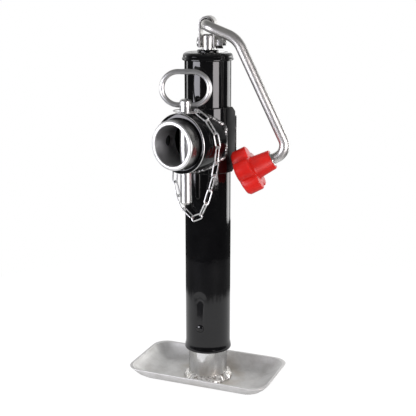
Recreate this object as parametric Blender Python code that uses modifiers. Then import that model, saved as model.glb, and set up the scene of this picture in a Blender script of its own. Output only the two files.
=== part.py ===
"""Tongue jack stand: a top-wind screw jack on a tray foot, with a swivel sleeve, a stub pipe,
a locking pin on a tether chain and a fold-over crank.

Frame: origin on the floor under the tube's axis, +Z up, the swivel sleeve points to -Y.
Sizes are written in millimetres and turned into metres by MM.
"""
import math

import bmesh
import bpy
from mathutils import Quaternion, Vector

MM = 0.001

# Clearances between pieces that meet
FIT = 0.3            # pieces that are welded, pressed or seated together
RUNNING = 0.5        # pieces that slide or turn in one another

# Outer tube and its cap
TUBE_OD = 57.15
TUBE_WALL = 2.9
TUBE_BOTTOM = 44.0
TUBE_LENGTH = 376.5
TUBE_TOP = TUBE_BOTTOM + TUBE_LENGTH
CAP_SHEET = 2.2
CAP_SKIRT = 9.5
CAP_TOP = TUBE_TOP + FIT + CAP_SHEET
TUBE_R = TUBE_OD / 2
TUBE_BORE_R = TUBE_R - TUBE_WALL

# Drop leg, its guide and the foot
LEG_PLAY = 0.925         # between the leg and the tube's bore
LEG_WALL = 3.0
LEG_HEADROOM = 32.7      # from the leg's top to the bearing's seat
LEG_LAND = 18.8          # leg above the guide pin when it is all the way out
LEG_R = TUBE_BORE_R - LEG_PLAY
GUIDE_AZIMUTH = 14.5     # degrees round the tube from -Y towards +X
GUIDE_Z = 77.0
GUIDE_PIN_R = 3.7
GROOVE_WIDTH = 13.0
GROOVE_LENGTH = 46.0
GROOVE_DEPTH = 1.3
FOOT_YAW = 14.0
FOOT_SHEET = 3.5
FOOT_BASE = (80.0, 43.0)     # half length and half width of the flat floor
FOOT_LIP = (95.5, 54.0)      # half length and half width over the raised lip
FOOT_LIP_HEIGHT = 18.0
FOOT_CORNER = 20.0
FOOT_WELD = 6.5
LEG_BOTTOM = FOOT_SHEET + FIT
BEARING_Z = TUBE_TOP - 38.0
LEG_TOP = BEARING_Z - LEG_HEADROOM
LEG_TRAVEL = LEG_TOP - LEG_LAND - GUIDE_Z

# Screw, nut and thrust bearing inside the tube
SCREW_R = 8.0
COLLAR_R = 15.0
SCREW_BOTTOM = 46.0
NUT_HEIGHT = 22.0
BEARING_SEAT = 6.0
BEARING_RACE = 2.0
BEARING_CAGE = 3.0
BEARING_OD = 36.0

# Swivel bracket, sleeve and stub pipe
SLEEVE_DROP = 102.0      # from the tube's top to the sleeve's middle
SLEEVE_OD = 73.0
SLEEVE_WALL = 5.8
SLEEVE_LENGTH = 25.425   # from the bracket's face to the sleeve's open end
SLEEVE_CHEEK = 20.6      # how far the sleeve's sides reach back past the bracket's face
BRACKET_SHEET = 3.7
BRACKET_HEIGHT = 80.0
BRACKET_REACH = 12.0     # how far the bracket's two legs run past the tube's middle
BRACKET_CLIP = 7.0
BRACKET_BEAD = 4.2
STUB_WALL = 5.55
STUB_PLAY = 0.55         # between the stub and the sleeve's bore
STUB_PROUD = 16.0        # stub in front of the sleeve
STUB_BEHIND = 1.9        # from the stub's inner end to the bracket's face
STUB_ROUND = 2.6
SLEEVE_Z = TUBE_TOP - SLEEVE_DROP
SLEEVE_R = SLEEVE_OD / 2
SLEEVE_BORE_R = SLEEVE_R - SLEEVE_WALL
STUB_R = SLEEVE_BORE_R - STUB_PLAY
STUB_BORE_R = STUB_R - STUB_WALL
BRACKET_IN_R = TUBE_R + FIT
BRACKET_OUT_R = BRACKET_IN_R + BRACKET_SHEET
SLEEVE_FRONT = BRACKET_OUT_R + SLEEVE_LENGTH      # from the tube's axis to the sleeve's open end
SLEEVE_BACK = BRACKET_OUT_R - SLEEVE_CHEEK
STUB_FRONT = SLEEVE_FRONT + STUB_PROUD
STUB_BACK = BRACKET_OUT_R + STUB_BEHIND

# Locking pin, pull ring and split ring
PIN_R = 7.25
PIN_BACK = 13.0          # from the sleeve's open end to the pin's axis
PIN_Y = PIN_BACK - SLEEVE_FRONT
PIN_BELOW = 39.0         # pin under the sleeve
PIN_ABOVE = 8.6          # from the sleeve's top to the cross hole that holds the pull ring
PIN_BOTTOM = SLEEVE_Z - SLEEVE_R - PIN_BELOW
PIN_HOLE_Z = SLEEVE_Z + SLEEVE_R + PIN_ABOVE
PIN_HEAD = 7.0           # pin above that hole
RING_YAW = 30.0
RING_WIRE_R = 3.15
RING_HALF_WIDTH = 28.4
RING_HEIGHT = 39.2
RING_FLAT = 8.0          # half of the straight run through the pin
SPLIT_WIRE_R = 0.65
SPLIT_RADIUS = 15.0
SPLIT_OFFSET = (4.0, -5.0)     # the loose ring's middle from the pin's axis
SPLIT_HOOK = 10.0        # where the chain hangs on it, in degrees from +X
SPLIT_PITCH = 1.75
SPLIT_TURNS = 1.6
SPLIT_Z = SLEEVE_Z + SLEEVE_R + FIT + SPLIT_WIRE_R

# Tether chain and the staple that holds its end
LINK_WIRE_R = 0.95
LINK_INSIDE = 4.6
LINK_PLAY = 0.2
LINK_COUNT = 13
LINK_HALF = LINK_INSIDE / 2 + LINK_WIRE_R      # radius of a link's rounded end
# How far a link's end sits off its neighbour's centre
LINK_HOOK = LINK_HALF - 2 * LINK_WIRE_R - LINK_PLAY
CHAIN_OFF = 5.9          # chain's middle line off the sleeve's skin
CHAIN_REACH = SLEEVE_R + CHAIN_OFF
# Round the sleeve: angle from +X, and how far behind the pin
CHAIN_WRAP = ((46, 1.0), (24, 4.0), (0, 6.5))
# The hanging loop: across and up as shares of its reach, and how far behind the pin
CHAIN_HANG = (
    (0.943, 5.5, -0.625), (0.802, 3.5, -1.238), (0.660, 2.0, -1.710), (0.472, 3.0, -2.064),
    (0.142, 6.0, -2.229), (-0.212, 9.0, -2.064), (-0.448, 10.0, -1.686), (-0.578, 9.5, -1.262))
ANCHOR_ANGLE = 238.0     # round the sleeve from +X
ANCHOR_Y = PIN_Y + 9.0
ANCHOR_WIRE_R = 1.5
ANCHOR_HALF = 4.5
ANCHOR_RISE = 7.5

# Crank: strap, bolt, rod and knob, in the crank's own frame with its arm along +X
CRANK_YAW = 26.0
EYE_Z = CAP_TOP + 33.0
STRAP_SHEET = 2.4
STRAP_IN_R = 7.4
STRAP_WIDTH = 20.0
STRAP_BOTTOM = CAP_TOP + 5.6
BOLT_Z = CAP_TOP + 11.6
BOLT_R = 3.9
BOLT_AF = 13.0
BOLT_END = 22.5
POST_TOP = CAP_TOP + 21.0
ROD_R = 6.35
ROD_TAIL = 13.6
ROD_PLANE = -24.5        # the bent part of the rod lies in this plane, in front of the eye
ROD_BENDS = (12.0, 30.0, 16.0)     # bend radii at the eye, the knee and the elbow
ROD_KNEE = (38.6, -15.4)      # from the eye, along the arm and up
ROD_ELBOW = (102.0, -147.2)
KNOB_SLOPE = 28.0        # knob's axis below the horizontal
KNOB_START = 21.6        # from the rod's elbow to the knob's mouth
KNOB_MOUTH_R = 12.0
KNOB_NECK_R = 14.0       # where the neck meets the star
KNOB_NECK = 23.0
KNOB_STAR_R = 29.0
KNOB_LENGTH = 45.0
KNOB_LOBES = 5
KNOB_PHASE = 0.0         # how far the lobes are turned about the knob's axis
LOBE_DEPTH = 0.30        # depth of the hollows between lobes, as a share of the radius
LOBE_BLUNT = 0.40        # lower is blunter
KNOB_BORE_R = ROD_R + RUNNING
ROD_IN_KNOB = 37.0

ROUND_STEPS = 36

ZINC = dict(colour=(0.62, 0.62, 0.60), roughness=0.32, metallic=1.0)
BRIGHT = dict(colour=(0.75, 0.74, 0.71), roughness=0.25, metallic=1.0)
BLACK = dict(colour=(0.012, 0.012, 0.014), roughness=0.16, metallic=0.0)
STEEL = dict(colour=(0.35, 0.35, 0.36), roughness=0.42, metallic=1.0)
BRASS = dict(colour=(0.55, 0.42, 0.20), roughness=0.40, metallic=1.0)
RED = dict(colour=(0.60, 0.02, 0.02), roughness=0.35, metallic=0.0)


def clear_scene():
    """Remove everything that is already in the file."""
    for item in list(bpy.data.objects):
        bpy.data.objects.remove(item, do_unlink=True)


def make_collection(name):
    """Make a collection under the scene's own."""
    group = bpy.data.collections.new(name)
    bpy.context.scene.collection.children.link(group)
    return group


clear_scene()
PARTS = make_collection("tongue_jack_stand")
CUTTERS = make_collection("cutters")


def add_material(item, finish):
    """Give one object a material of its own."""
    material = bpy.data.materials.new(item.name + "_finish")
    material.use_nodes = True
    shader = material.node_tree.nodes["Principled BSDF"]
    shader.inputs["Base Color"].default_value = (*finish["colour"], 1.0)
    shader.inputs["Roughness"].default_value = finish["roughness"]
    shader.inputs["Metallic"].default_value = finish["metallic"]
    item.data.materials.append(material)


def place(item, parent=None, location=(0, 0, 0), turn=None):
    """Set an object's place, in millimetres, and what it rides on."""
    item.location = Vector(location) * MM
    if turn is not None:
        item.rotation_euler = turn
    if parent is not None:
        item.parent = parent
    return item


def add_pivot(name, location, turn=(0, 0, 0), parent=None):
    """Add an empty that marks a joint's axis or a sub-assembly's frame."""
    pivot = bpy.data.objects.new(name, None)
    pivot.empty_display_size = 20 * MM
    PARTS.objects.link(pivot)
    return place(pivot, parent, location, turn)


def new_mesh_object(name, mesh, finish):
    """Link a mesh as a part, or as a hidden cutter when it has no finish."""
    item = bpy.data.objects.new(name, mesh)
    if finish is None:
        CUTTERS.objects.link(item)
        item.hide_render = True
        item.display_type = 'WIRE'
    else:
        PARTS.objects.link(item)
        add_material(item, finish)
    return item


def lathe(name, profile, finish, steps=ROUND_STEPS, ring=True):
    """Turn a profile of (radius, height) points, listed down the outer side, about local Z."""
    mesh = bpy.data.meshes.new(name)
    points = [(radius * MM, 0.0, height * MM) for radius, height in profile]
    edges = [(index, index + 1) for index in range(len(points) - 1)]
    if ring:
        edges.append((len(points) - 1, 0))
    mesh.from_pydata(points, edges, [])
    item = new_mesh_object(name, mesh, finish)
    screw = item.modifiers.new("turn", 'SCREW')
    screw.axis = 'Z'
    screw.angle = math.tau
    screw.steps = steps
    screw.render_steps = steps
    screw.use_merge_vertices = True
    screw.merge_threshold = 0.00001
    return item


def ring_profile(outer, inner, top, bottom, chamfer=0.0):
    """List a plain ring's section, with both outer corners chamfered where a chamfer is given."""
    if not chamfer:
        return [(inner, top), (outer, top), (outer, bottom), (inner, bottom)]
    return [(inner, top), (outer - chamfer, top), (outer, top - chamfer),
            (outer, bottom + chamfer), (outer - chamfer, bottom), (inner, bottom)]


def prism(name, outline, depth, finish):
    """Extrude a flat outline of (x, y) points along local Z, centred on its own plane."""
    shape = bmesh.new()
    low = [shape.verts.new((x * MM, y * MM, -depth / 2 * MM)) for x, y in outline]
    high = [shape.verts.new((x * MM, y * MM, depth / 2 * MM)) for x, y in outline]
    shape.faces.new(low)
    shape.faces.new(high)
    for index, vert in enumerate(low):
        following = (index + 1) % len(low)
        shape.faces.new((vert, low[following], high[following], high[index]))
    bmesh.ops.recalc_face_normals(shape, faces=shape.faces)
    mesh = bpy.data.meshes.new(name)
    shape.to_mesh(mesh)
    shape.free()
    return new_mesh_object(name, mesh, finish)


def cylinder(name, radius, length, finish=None, sides=32):
    """Make a plain cylinder along local Z, centred on its origin."""
    outline = [(radius * math.cos(math.tau * step / sides), radius * math.sin(math.tau * step / sides))
               for step in range(sides)]
    return prism(name, outline, length, finish)


def cut(item, cutter):
    """Take one cutter out of a part."""
    difference = item.modifiers.new("cut_" + cutter.name, 'BOOLEAN')
    difference.operation = 'DIFFERENCE'
    difference.solver = 'EXACT'
    difference.object = cutter


def wire(name, points, radius, finish, closed=False, resolution=2):
    """Sweep a round wire along points in millimetres."""
    curve = bpy.data.curves.new(name, 'CURVE')
    curve.dimensions = '3D'
    curve.bevel_depth = radius * MM
    curve.bevel_resolution = resolution
    curve.use_fill_caps = not closed
    spline = curve.splines.new('POLY')
    spline.points.add(len(points) - 1)
    for slot, point in zip(spline.points, points):
        slot.co = (*(Vector(point) * MM), 1.0)
    spline.use_cyclic_u = closed
    item = bpy.data.objects.new(name, curve)
    PARTS.objects.link(item)
    add_material(item, finish)
    return item


def arc_points(centre, radius, start, end, steps):
    """List (x, y) points along an arc given in degrees."""
    return [(centre[0] + radius * math.cos(math.radians(start + (end - start) * step / steps)),
             centre[1] + radius * math.sin(math.radians(start + (end - start) * step / steps)))
            for step in range(steps + 1)]


def round_corners(corners, radii, steps=8):
    """Replace each inner corner of a 3-D path with a circular bend of its own radius."""
    path = [Vector(corners[0])]
    for before, corner, after, radius in zip(corners, corners[1:], corners[2:], radii):
        corner = Vector(corner)
        back = (Vector(before) - corner).normalized()
        ahead = (Vector(after) - corner).normalized()
        half = back.angle(ahead) / 2
        centre = corner + (back + ahead).normalized() * radius / math.sin(half)
        start = corner + back * radius / math.tan(half) - centre
        end = corner + ahead * radius / math.tan(half) - centre
        axis = start.cross(end)
        for step in range(steps + 1):
            path.append(centre + Quaternion(axis, start.angle(end) * step / steps) @ start)
    path.append(Vector(corners[-1]))
    return path


def smooth_path(knots, steps=24):
    """Pass a Catmull-Rom curve through the knots."""
    knots = [Vector(knot) for knot in knots]
    ends = [knots[0] * 2 - knots[1]] + knots + [knots[-1] * 2 - knots[-2]]
    path = []
    for p0, p1, p2, p3 in zip(ends, ends[1:], ends[2:], ends[3:]):
        for step in range(steps):
            t = step / steps
            path.append(0.5 * (2 * p1 + (p2 - p0) * t + (2 * p0 - 5 * p1 + 4 * p2 - p3) * t ** 2
                               + (3 * p1 - p0 - 3 * p2 + p3) * t ** 3))
    path.append(knots[-1])
    return path


def build_tube():
    """Build the outer tube with its rolled lower edge, guide groove and cap."""
    tube = lathe("outer_tube", [
        (TUBE_R, TUBE_TOP), (TUBE_R, TUBE_BOTTOM + 9), (TUBE_R + 1.1, TUBE_BOTTOM + 4),
        (TUBE_R + 1.4, TUBE_BOTTOM + 1), (TUBE_R + 0.9, TUBE_BOTTOM), (TUBE_BORE_R, TUBE_BOTTOM),
        (TUBE_BORE_R, TUBE_TOP)], BLACK, steps=48)
    turn = math.radians(GUIDE_AZIMUTH - 90)
    outward = Vector((math.cos(turn), math.sin(turn), 0))
    half = GROOVE_LENGTH / 2 - GROOVE_WIDTH / 2
    outline = (arc_points((half, 0), GROOVE_WIDTH / 2, -90, 90, 10)
               + arc_points((-half, 0), GROOVE_WIDTH / 2, 90, 270, 10))
    groove = prism("cutter_groove", outline, 2 * GROOVE_DEPTH + 6, None)
    groove_z = GUIDE_Z + GROOVE_LENGTH / 2 - GROOVE_WIDTH / 2 - 1
    place(groove, None, outward * (TUBE_R + 3) + Vector((0, 0, groove_z)),
          (0, math.pi / 2, turn))
    cut(tube, groove)
    hole = cylinder("cutter_guide_hole", GUIDE_PIN_R + FIT, 20)
    place(hole, None, outward * TUBE_R + Vector((0, 0, GUIDE_Z)), (0, math.pi / 2, turn))
    cut(tube, hole)

    seat = TUBE_R - GROOVE_DEPTH + FIT / 3
    head = 6.0
    rivet = lathe("guide_rivet", [
        (0, seat + 2.6), (2.4, seat + 2.3), (4.6, seat + 1.4), (head, seat), (GUIDE_PIN_R, seat),
        (GUIDE_PIN_R, LEG_R - LEG_WALL + 0.6), (GUIDE_PIN_R - 0.6, LEG_R - LEG_WALL), (0, LEG_R - LEG_WALL)],
        BLACK, steps=20, ring=False)
    place(rivet, None, (0, 0, GUIDE_Z), (0, math.pi / 2, turn))

    skirt = TUBE_R + FIT
    outer = skirt + CAP_SHEET - 0.6
    hole = SCREW_R + 1.4
    lathe("top_cap", [
        (hole, CAP_TOP), (TUBE_R - 6, CAP_TOP), (TUBE_R - 2.2, CAP_TOP - 0.7), (outer - 1, CAP_TOP - 2.2),
        (outer, CAP_TOP - 4.4), (outer, CAP_TOP - CAP_SKIRT + 3.4), (outer + 1, CAP_TOP - CAP_SKIRT + 2.2),
        (outer + 1, CAP_TOP - CAP_SKIRT + 0.7), (outer + 0.3, CAP_TOP - CAP_SKIRT),
        (skirt, CAP_TOP - CAP_SKIRT), (skirt, CAP_TOP - CAP_SHEET), (hole, CAP_TOP - CAP_SHEET)],
        BLACK, steps=48)
    lathe("cap_boss", ring_profile(13.0, SCREW_R + RUNNING, CAP_TOP + FIT + 2.6, CAP_TOP + FIT, 0.8), BLACK)


def build_bearing(crank):
    """Build the thrust bearing that carries the screw near the top of the tube."""
    seat_top = BEARING_Z + BEARING_SEAT
    bore = SCREW_R + RUNNING
    lathe("bearing_seat", ring_profile(TUBE_BORE_R - FIT, bore + 0.6, seat_top, BEARING_Z, 0.6), STEEL)
    low = seat_top + FIT
    lathe("bearing_lower_race", ring_profile(BEARING_OD / 2, bore, low + BEARING_RACE, low, 0.3), STEEL)
    cage = low + BEARING_RACE + FIT
    section = ring_profile(BEARING_OD / 2 - 1.5, bore + 1.5, cage + BEARING_CAGE, cage, 0.9)
    place(lathe("bearing_cage", section, BRASS), crank)
    high = cage + BEARING_CAGE + FIT
    upper = ring_profile(BEARING_OD / 2, bore, high + BEARING_RACE, high, 0.3)
    place(lathe("bearing_upper_race", upper, STEEL), crank)
    return high + BEARING_RACE + FIT


def build_leg():
    """Build the drop leg with its guide slot, the drive nut and the tray foot."""
    leg_bore = LEG_R - LEG_WALL
    leg = lathe("leg_tube", ring_profile(LEG_R, leg_bore, LEG_TOP, LEG_BOTTOM, 0.5), ZINC, steps=48)
    turn = math.radians(GUIDE_AZIMUTH - 90)
    outward = Vector((math.cos(turn), math.sin(turn), 0))
    slot_half = (LEG_TRAVEL + 4) / 2
    width = GUIDE_PIN_R + RUNNING
    outline = arc_points((slot_half, 0), width, -90, 90, 8) + arc_points((-slot_half, 0), width, 90, 270, 8)
    slot = prism("cutter_slot", outline, 12, None)
    place(slot, None, outward * LEG_R + Vector((0, 0, GUIDE_Z + LEG_TRAVEL / 2)), (0, math.pi / 2, turn))
    cut(leg, slot)
    nut_top = LEG_TOP - 1
    section = ring_profile(leg_bore - FIT, SCREW_R + RUNNING, nut_top, nut_top - NUT_HEIGHT, 0.6)
    lathe("drive_nut", section, STEEL)

    loops = []
    lip_slope = (FOOT_LIP[0] - FOOT_BASE[0]) / FOOT_LIP_HEIGHT
    inset = FOOT_SHEET * (math.hypot(1, lip_slope) - lip_slope)
    for (half_x, half_y), height, grow in (
            (FOOT_BASE, 0.0, 0.0), (FOOT_LIP, FOOT_LIP_HEIGHT, 0.0),
            (FOOT_LIP, FOOT_LIP_HEIGHT, -FOOT_SHEET), (FOOT_BASE, FOOT_SHEET, -inset)):
        loops.append((foot_loop(half_x + grow, half_y + grow, FOOT_CORNER), height))
    shape = bmesh.new()
    rings = [[shape.verts.new((x * MM, y * MM, height * MM)) for x, y in loop] for loop, height in loops]
    shape.faces.new(rings[0])
    shape.faces.new(rings[-1])
    for ring, following in zip(rings, rings[1:]):
        for index in range(len(ring)):
            after = (index + 1) % len(ring)
            shape.faces.new((ring[index], ring[after], following[after], following[index]))
    bmesh.ops.recalc_face_normals(shape, faces=shape.faces)
    mesh = bpy.data.meshes.new("foot_plate")
    shape.to_mesh(mesh)
    shape.free()
    foot = new_mesh_object("foot_plate", mesh, ZINC)
    place(foot, None, (0, 0, 0), (0, 0, math.radians(FOOT_YAW)))

    inner = LEG_R + FIT
    lathe("foot_weld", [
        (inner, LEG_BOTTOM + FOOT_WELD), (inner + 1.6, LEG_BOTTOM + FOOT_WELD - 0.6),
        (inner + 3.4, LEG_BOTTOM + 3.6), (inner + FOOT_WELD - 0.9, LEG_BOTTOM + 1.4),
        (inner + FOOT_WELD, LEG_BOTTOM), (inner, LEG_BOTTOM)], BRIGHT)


def foot_loop(half_x, half_y, corner):
    """List one level of the foot: a rectangle with rounded corners."""
    points = []
    for sign_x, sign_y, start in ((1, 1, 0), (-1, 1, 90), (-1, -1, 180), (1, -1, 270)):
        points += arc_points((sign_x * (half_x - corner), sign_y * (half_y - corner)), corner,
                             start, start + 90, 5)
    return points


def build_mount():
    """Build the wrapped bracket, the swivel sleeve and the stub pipe that turns in it."""
    outline = ([(BRACKET_OUT_R, BRACKET_REACH)] + arc_points((0, 0), BRACKET_OUT_R, 0, -180, 36)
               + [(-BRACKET_OUT_R, BRACKET_REACH), (-BRACKET_IN_R, BRACKET_REACH)]
               + arc_points((0, 0), BRACKET_IN_R, -180, 0, 36) + [(BRACKET_IN_R, BRACKET_REACH)])
    bracket = prism("swivel_bracket", outline, BRACKET_HEIGHT, BLACK)
    place(bracket, None, (0, 0, SLEEVE_Z))
    for name, side in (("top", 1), ("bottom", -1)):
        edge = SLEEVE_Z + side * BRACKET_HEIGHT / 2
        clip = prism("cutter_clip_" + name, [
            (BRACKET_REACH + 1, side), (BRACKET_REACH - BRACKET_CLIP, side),
            (BRACKET_REACH + 1, -side * BRACKET_CLIP)], 2 * BRACKET_OUT_R + 20, None)
        place(clip, None, (0, 0, edge), (math.pi / 2, 0, math.pi / 2))
        cut(bracket, clip)

    facing = (math.pi / 2, 0, 0)      # local +Z to -Y
    sleeve = lathe("swivel_sleeve", [
        (SLEEVE_BORE_R + 0.6, SLEEVE_FRONT), (SLEEVE_R - 0.8, SLEEVE_FRONT), (SLEEVE_R, SLEEVE_FRONT - 0.8),
        (SLEEVE_R, SLEEVE_BACK), (SLEEVE_BORE_R, SLEEVE_BACK), (SLEEVE_BORE_R, SLEEVE_FRONT - 0.6)],
        BLACK, steps=48)
    place(sleeve, None, (0, 0, SLEEVE_Z), facing)
    saddle = cylinder("cutter_saddle", BRACKET_OUT_R + FIT, 2 * SLEEVE_OD, sides=72)
    place(saddle, None, (0, 0, SLEEVE_Z))
    cut(sleeve, saddle)
    rounding = [(STUB_R - STUB_ROUND + STUB_ROUND * math.sin(math.radians(angle)),
                 STUB_FRONT - STUB_ROUND + STUB_ROUND * math.cos(math.radians(angle)))
                for angle in (0, 30, 60, 90)]
    stub = lathe("stub_pipe", [(STUB_BORE_R + 0.8, STUB_FRONT)] + rounding + [
        (STUB_R, STUB_BACK), (STUB_BORE_R, STUB_BACK), (STUB_BORE_R, STUB_FRONT - 0.8)], ZINC, steps=48)
    place(stub, None, (0, 0, SLEEVE_Z), facing)
    pin_hole = cylinder("cutter_pin_hole", PIN_R + RUNNING, 2 * SLEEVE_OD)
    place(pin_hole, None, (0, PIN_Y, SLEEVE_Z))
    cut(sleeve, pin_hole)
    cut(stub, pin_hole)

    seam = math.asin((BRACKET_REACH + FIT) / (TUBE_R + FIT))      # where the bracket's edge meets the tube
    skin = [(TUBE_R + FIT, math.degrees(seam) + turn) for turn in (10, 6, 2.5)]
    for name, side in (("right", 1), ("left", -1)):
        outline = [(BRACKET_OUT_R - 0.6, BRACKET_REACH + FIT),
                   (BRACKET_OUT_R - 1.4, BRACKET_REACH + BRACKET_BEAD * 0.6),
                   (BRACKET_IN_R - 0.6, BRACKET_REACH + BRACKET_BEAD)]
        outline += [(radius * math.cos(math.radians(angle)), radius * math.sin(math.radians(angle)))
                    for radius, angle in skin]
        bead = prism("bracket_weld_" + name, [(side * x, y) for x, y in outline],
                     BRACKET_HEIGHT - 2 * BRACKET_CLIP - 6, BLACK)
        place(bead, None, (0, 0, SLEEVE_Z))


def build_pin():
    """Build the locking pin, the oval pull ring through its head and the split ring round its neck."""
    axis = add_pivot("pin_axis", (0, PIN_Y, 0))
    top = PIN_HOLE_Z + PIN_HEAD
    pin = place(lathe("pull_pin", [
        (0, top), (PIN_R - 3, top), (PIN_R - 1, top - 0.8), (PIN_R, top - 2.4), (PIN_R, PIN_BOTTOM + 2.4),
        (PIN_R - 2, PIN_BOTTOM), (0, PIN_BOTTOM)], ZINC, steps=32, ring=False), axis)
    hinge = add_pivot("ring_hinge", (0, 0, PIN_HOLE_Z), (0, 0, math.radians(RING_YAW)), axis)
    bore = place(cylinder("cutter_ring_hole", RING_WIRE_R + RUNNING, 30), None, (0, PIN_Y, PIN_HOLE_Z),
                 (0, math.pi / 2, math.radians(RING_YAW)))
    cut(pin, bore)
    middle = RING_HEIGHT / 2
    loop = [(-RING_FLAT, 0, 0), (RING_FLAT, 0, 0)]
    for angle in range(-80, 0, 10):
        turn = math.radians(angle)
        loop.append((RING_FLAT + (RING_HALF_WIDTH - RING_FLAT) * math.cos(turn), 0,
                     middle + middle * math.sin(turn)))
    for angle in range(0, 181, 10):
        turn = math.radians(angle)
        loop.append((RING_HALF_WIDTH * math.cos(turn), 0, middle + middle * math.sin(turn)))
    for angle in range(190, 270, 10):
        turn = math.radians(angle)
        loop.append((-RING_FLAT + (RING_HALF_WIDTH - RING_FLAT) * math.cos(turn), 0,
                     middle + middle * math.sin(turn)))
    place(wire("pull_ring", loop, RING_WIRE_R, ZINC, closed=True, resolution=3), hinge)

    steps = round(SPLIT_TURNS * 30)
    start = -math.tau * (SPLIT_TURNS - 1) / 2
    coil = []
    for step in range(steps + 1):
        turn = start + math.tau * SPLIT_TURNS * step / steps
        coil.append(Vector((SPLIT_OFFSET[0] + SPLIT_RADIUS * math.cos(turn),
                            SPLIT_OFFSET[1] + SPLIT_RADIUS * math.sin(turn),
                            SPLIT_Z + SPLIT_PITCH * SPLIT_TURNS * step / steps)))
    place(wire("split_ring", coil, SPLIT_WIRE_R, BRIGHT), axis)
    least = min((a - b).length for index, a in enumerate(coil) for b in coil[index + 15:])
    print("split ring: least gap between turns", round(least - 2 * SPLIT_WIRE_R, 2), "mm")


def chain_joints():
    """Find where the links meet: equal steps along the way the chain hangs."""
    hook = math.radians(SPLIT_HOOK)
    knots = [(SPLIT_OFFSET[0] + SPLIT_RADIUS * math.cos(hook),
              PIN_Y + SPLIT_OFFSET[1] + SPLIT_RADIUS * math.sin(hook),
              SPLIT_Z + SPLIT_PITCH * SPLIT_TURNS / 2)]
    knots += [(CHAIN_REACH * math.cos(math.radians(angle)), PIN_Y + behind,
               SLEEVE_Z + CHAIN_REACH * math.sin(math.radians(angle))) for angle, behind in CHAIN_WRAP]
    knots += [(CHAIN_REACH * across, PIN_Y + behind, SLEEVE_Z + CHAIN_REACH * up)
              for across, behind, up in CHAIN_HANG]
    end = SLEEVE_R + ANCHOR_RISE
    knots.append((end * math.cos(math.radians(ANCHOR_ANGLE)), ANCHOR_Y,
                  SLEEVE_Z + end * math.sin(math.radians(ANCHOR_ANGLE))))
    path = smooth_path(knots)

    def walk(length):
        """Step along the path with links of one length, until it ends or every link is placed."""
        joints = [path[0]]
        for before, after in zip(path, path[1:]):
            while len(joints) <= LINK_COUNT:
                step = length - 2 * LINK_HALF if len(joints) % 2 else length + 2 * LINK_HOOK
                if (after - joints[-1]).length < step:
                    break
                low, high = 0.0, 1.0
                for _ in range(30):
                    mid = (low + high) / 2
                    if (before.lerp(after, mid) - joints[-1]).length < step:
                        low = mid
                    else:
                        high = mid
                joints.append(before.lerp(after, high))
        return joints

    low, high = 10.0, 30.0
    for _ in range(40):
        mid = (low + high) / 2
        if len(walk(mid)) > LINK_COUNT:
            low = mid
        else:
            high = mid
    return walk(low), low


def build_chain():
    """Build the tether chain: separate closed links, each through the next, and its staple."""
    joints, length = chain_joints()
    half = length / 2 - LINK_HALF
    outline = arc_points((half, 0), LINK_HALF, -90, 90, 6) + arc_points((-half, 0), LINK_HALF, 90, 270, 6)
    for index, (start, end) in enumerate(zip(joints, joints[1:])):
        along = (end - start).normalized()
        side = Vector((0, 1, 0))
        side = (side - along * side.dot(along)).normalized()
        across = side if index % 2 else side.cross(along)
        loop = [along * x + across * y for x, y in outline]
        link = wire(f"chain_link_{index + 1:02d}", loop, LINK_WIRE_R, ZINC, closed=True)
        place(link, None, (start + end) / 2)

    turn = math.radians(ANCHOR_ANGLE)
    outward = Vector((math.cos(turn), 0, math.sin(turn)))
    foot = SLEEVE_R + FIT
    straight = ANCHOR_RISE - ANCHOR_HALF
    legs = [(foot, -ANCHOR_HALF)]
    legs += [(SLEEVE_R + straight + x, y) for x, y in arc_points((0, 0), ANCHOR_HALF, -90, 90, 10)]
    legs.append((foot, ANCHOR_HALF))
    bend = [outward * rise + Vector((0, y, 0)) for rise, y in legs]
    staple = wire("chain_staple", bend, ANCHOR_WIRE_R, BLACK)
    place(staple, None, (0, ANCHOR_Y, SLEEVE_Z))


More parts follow.
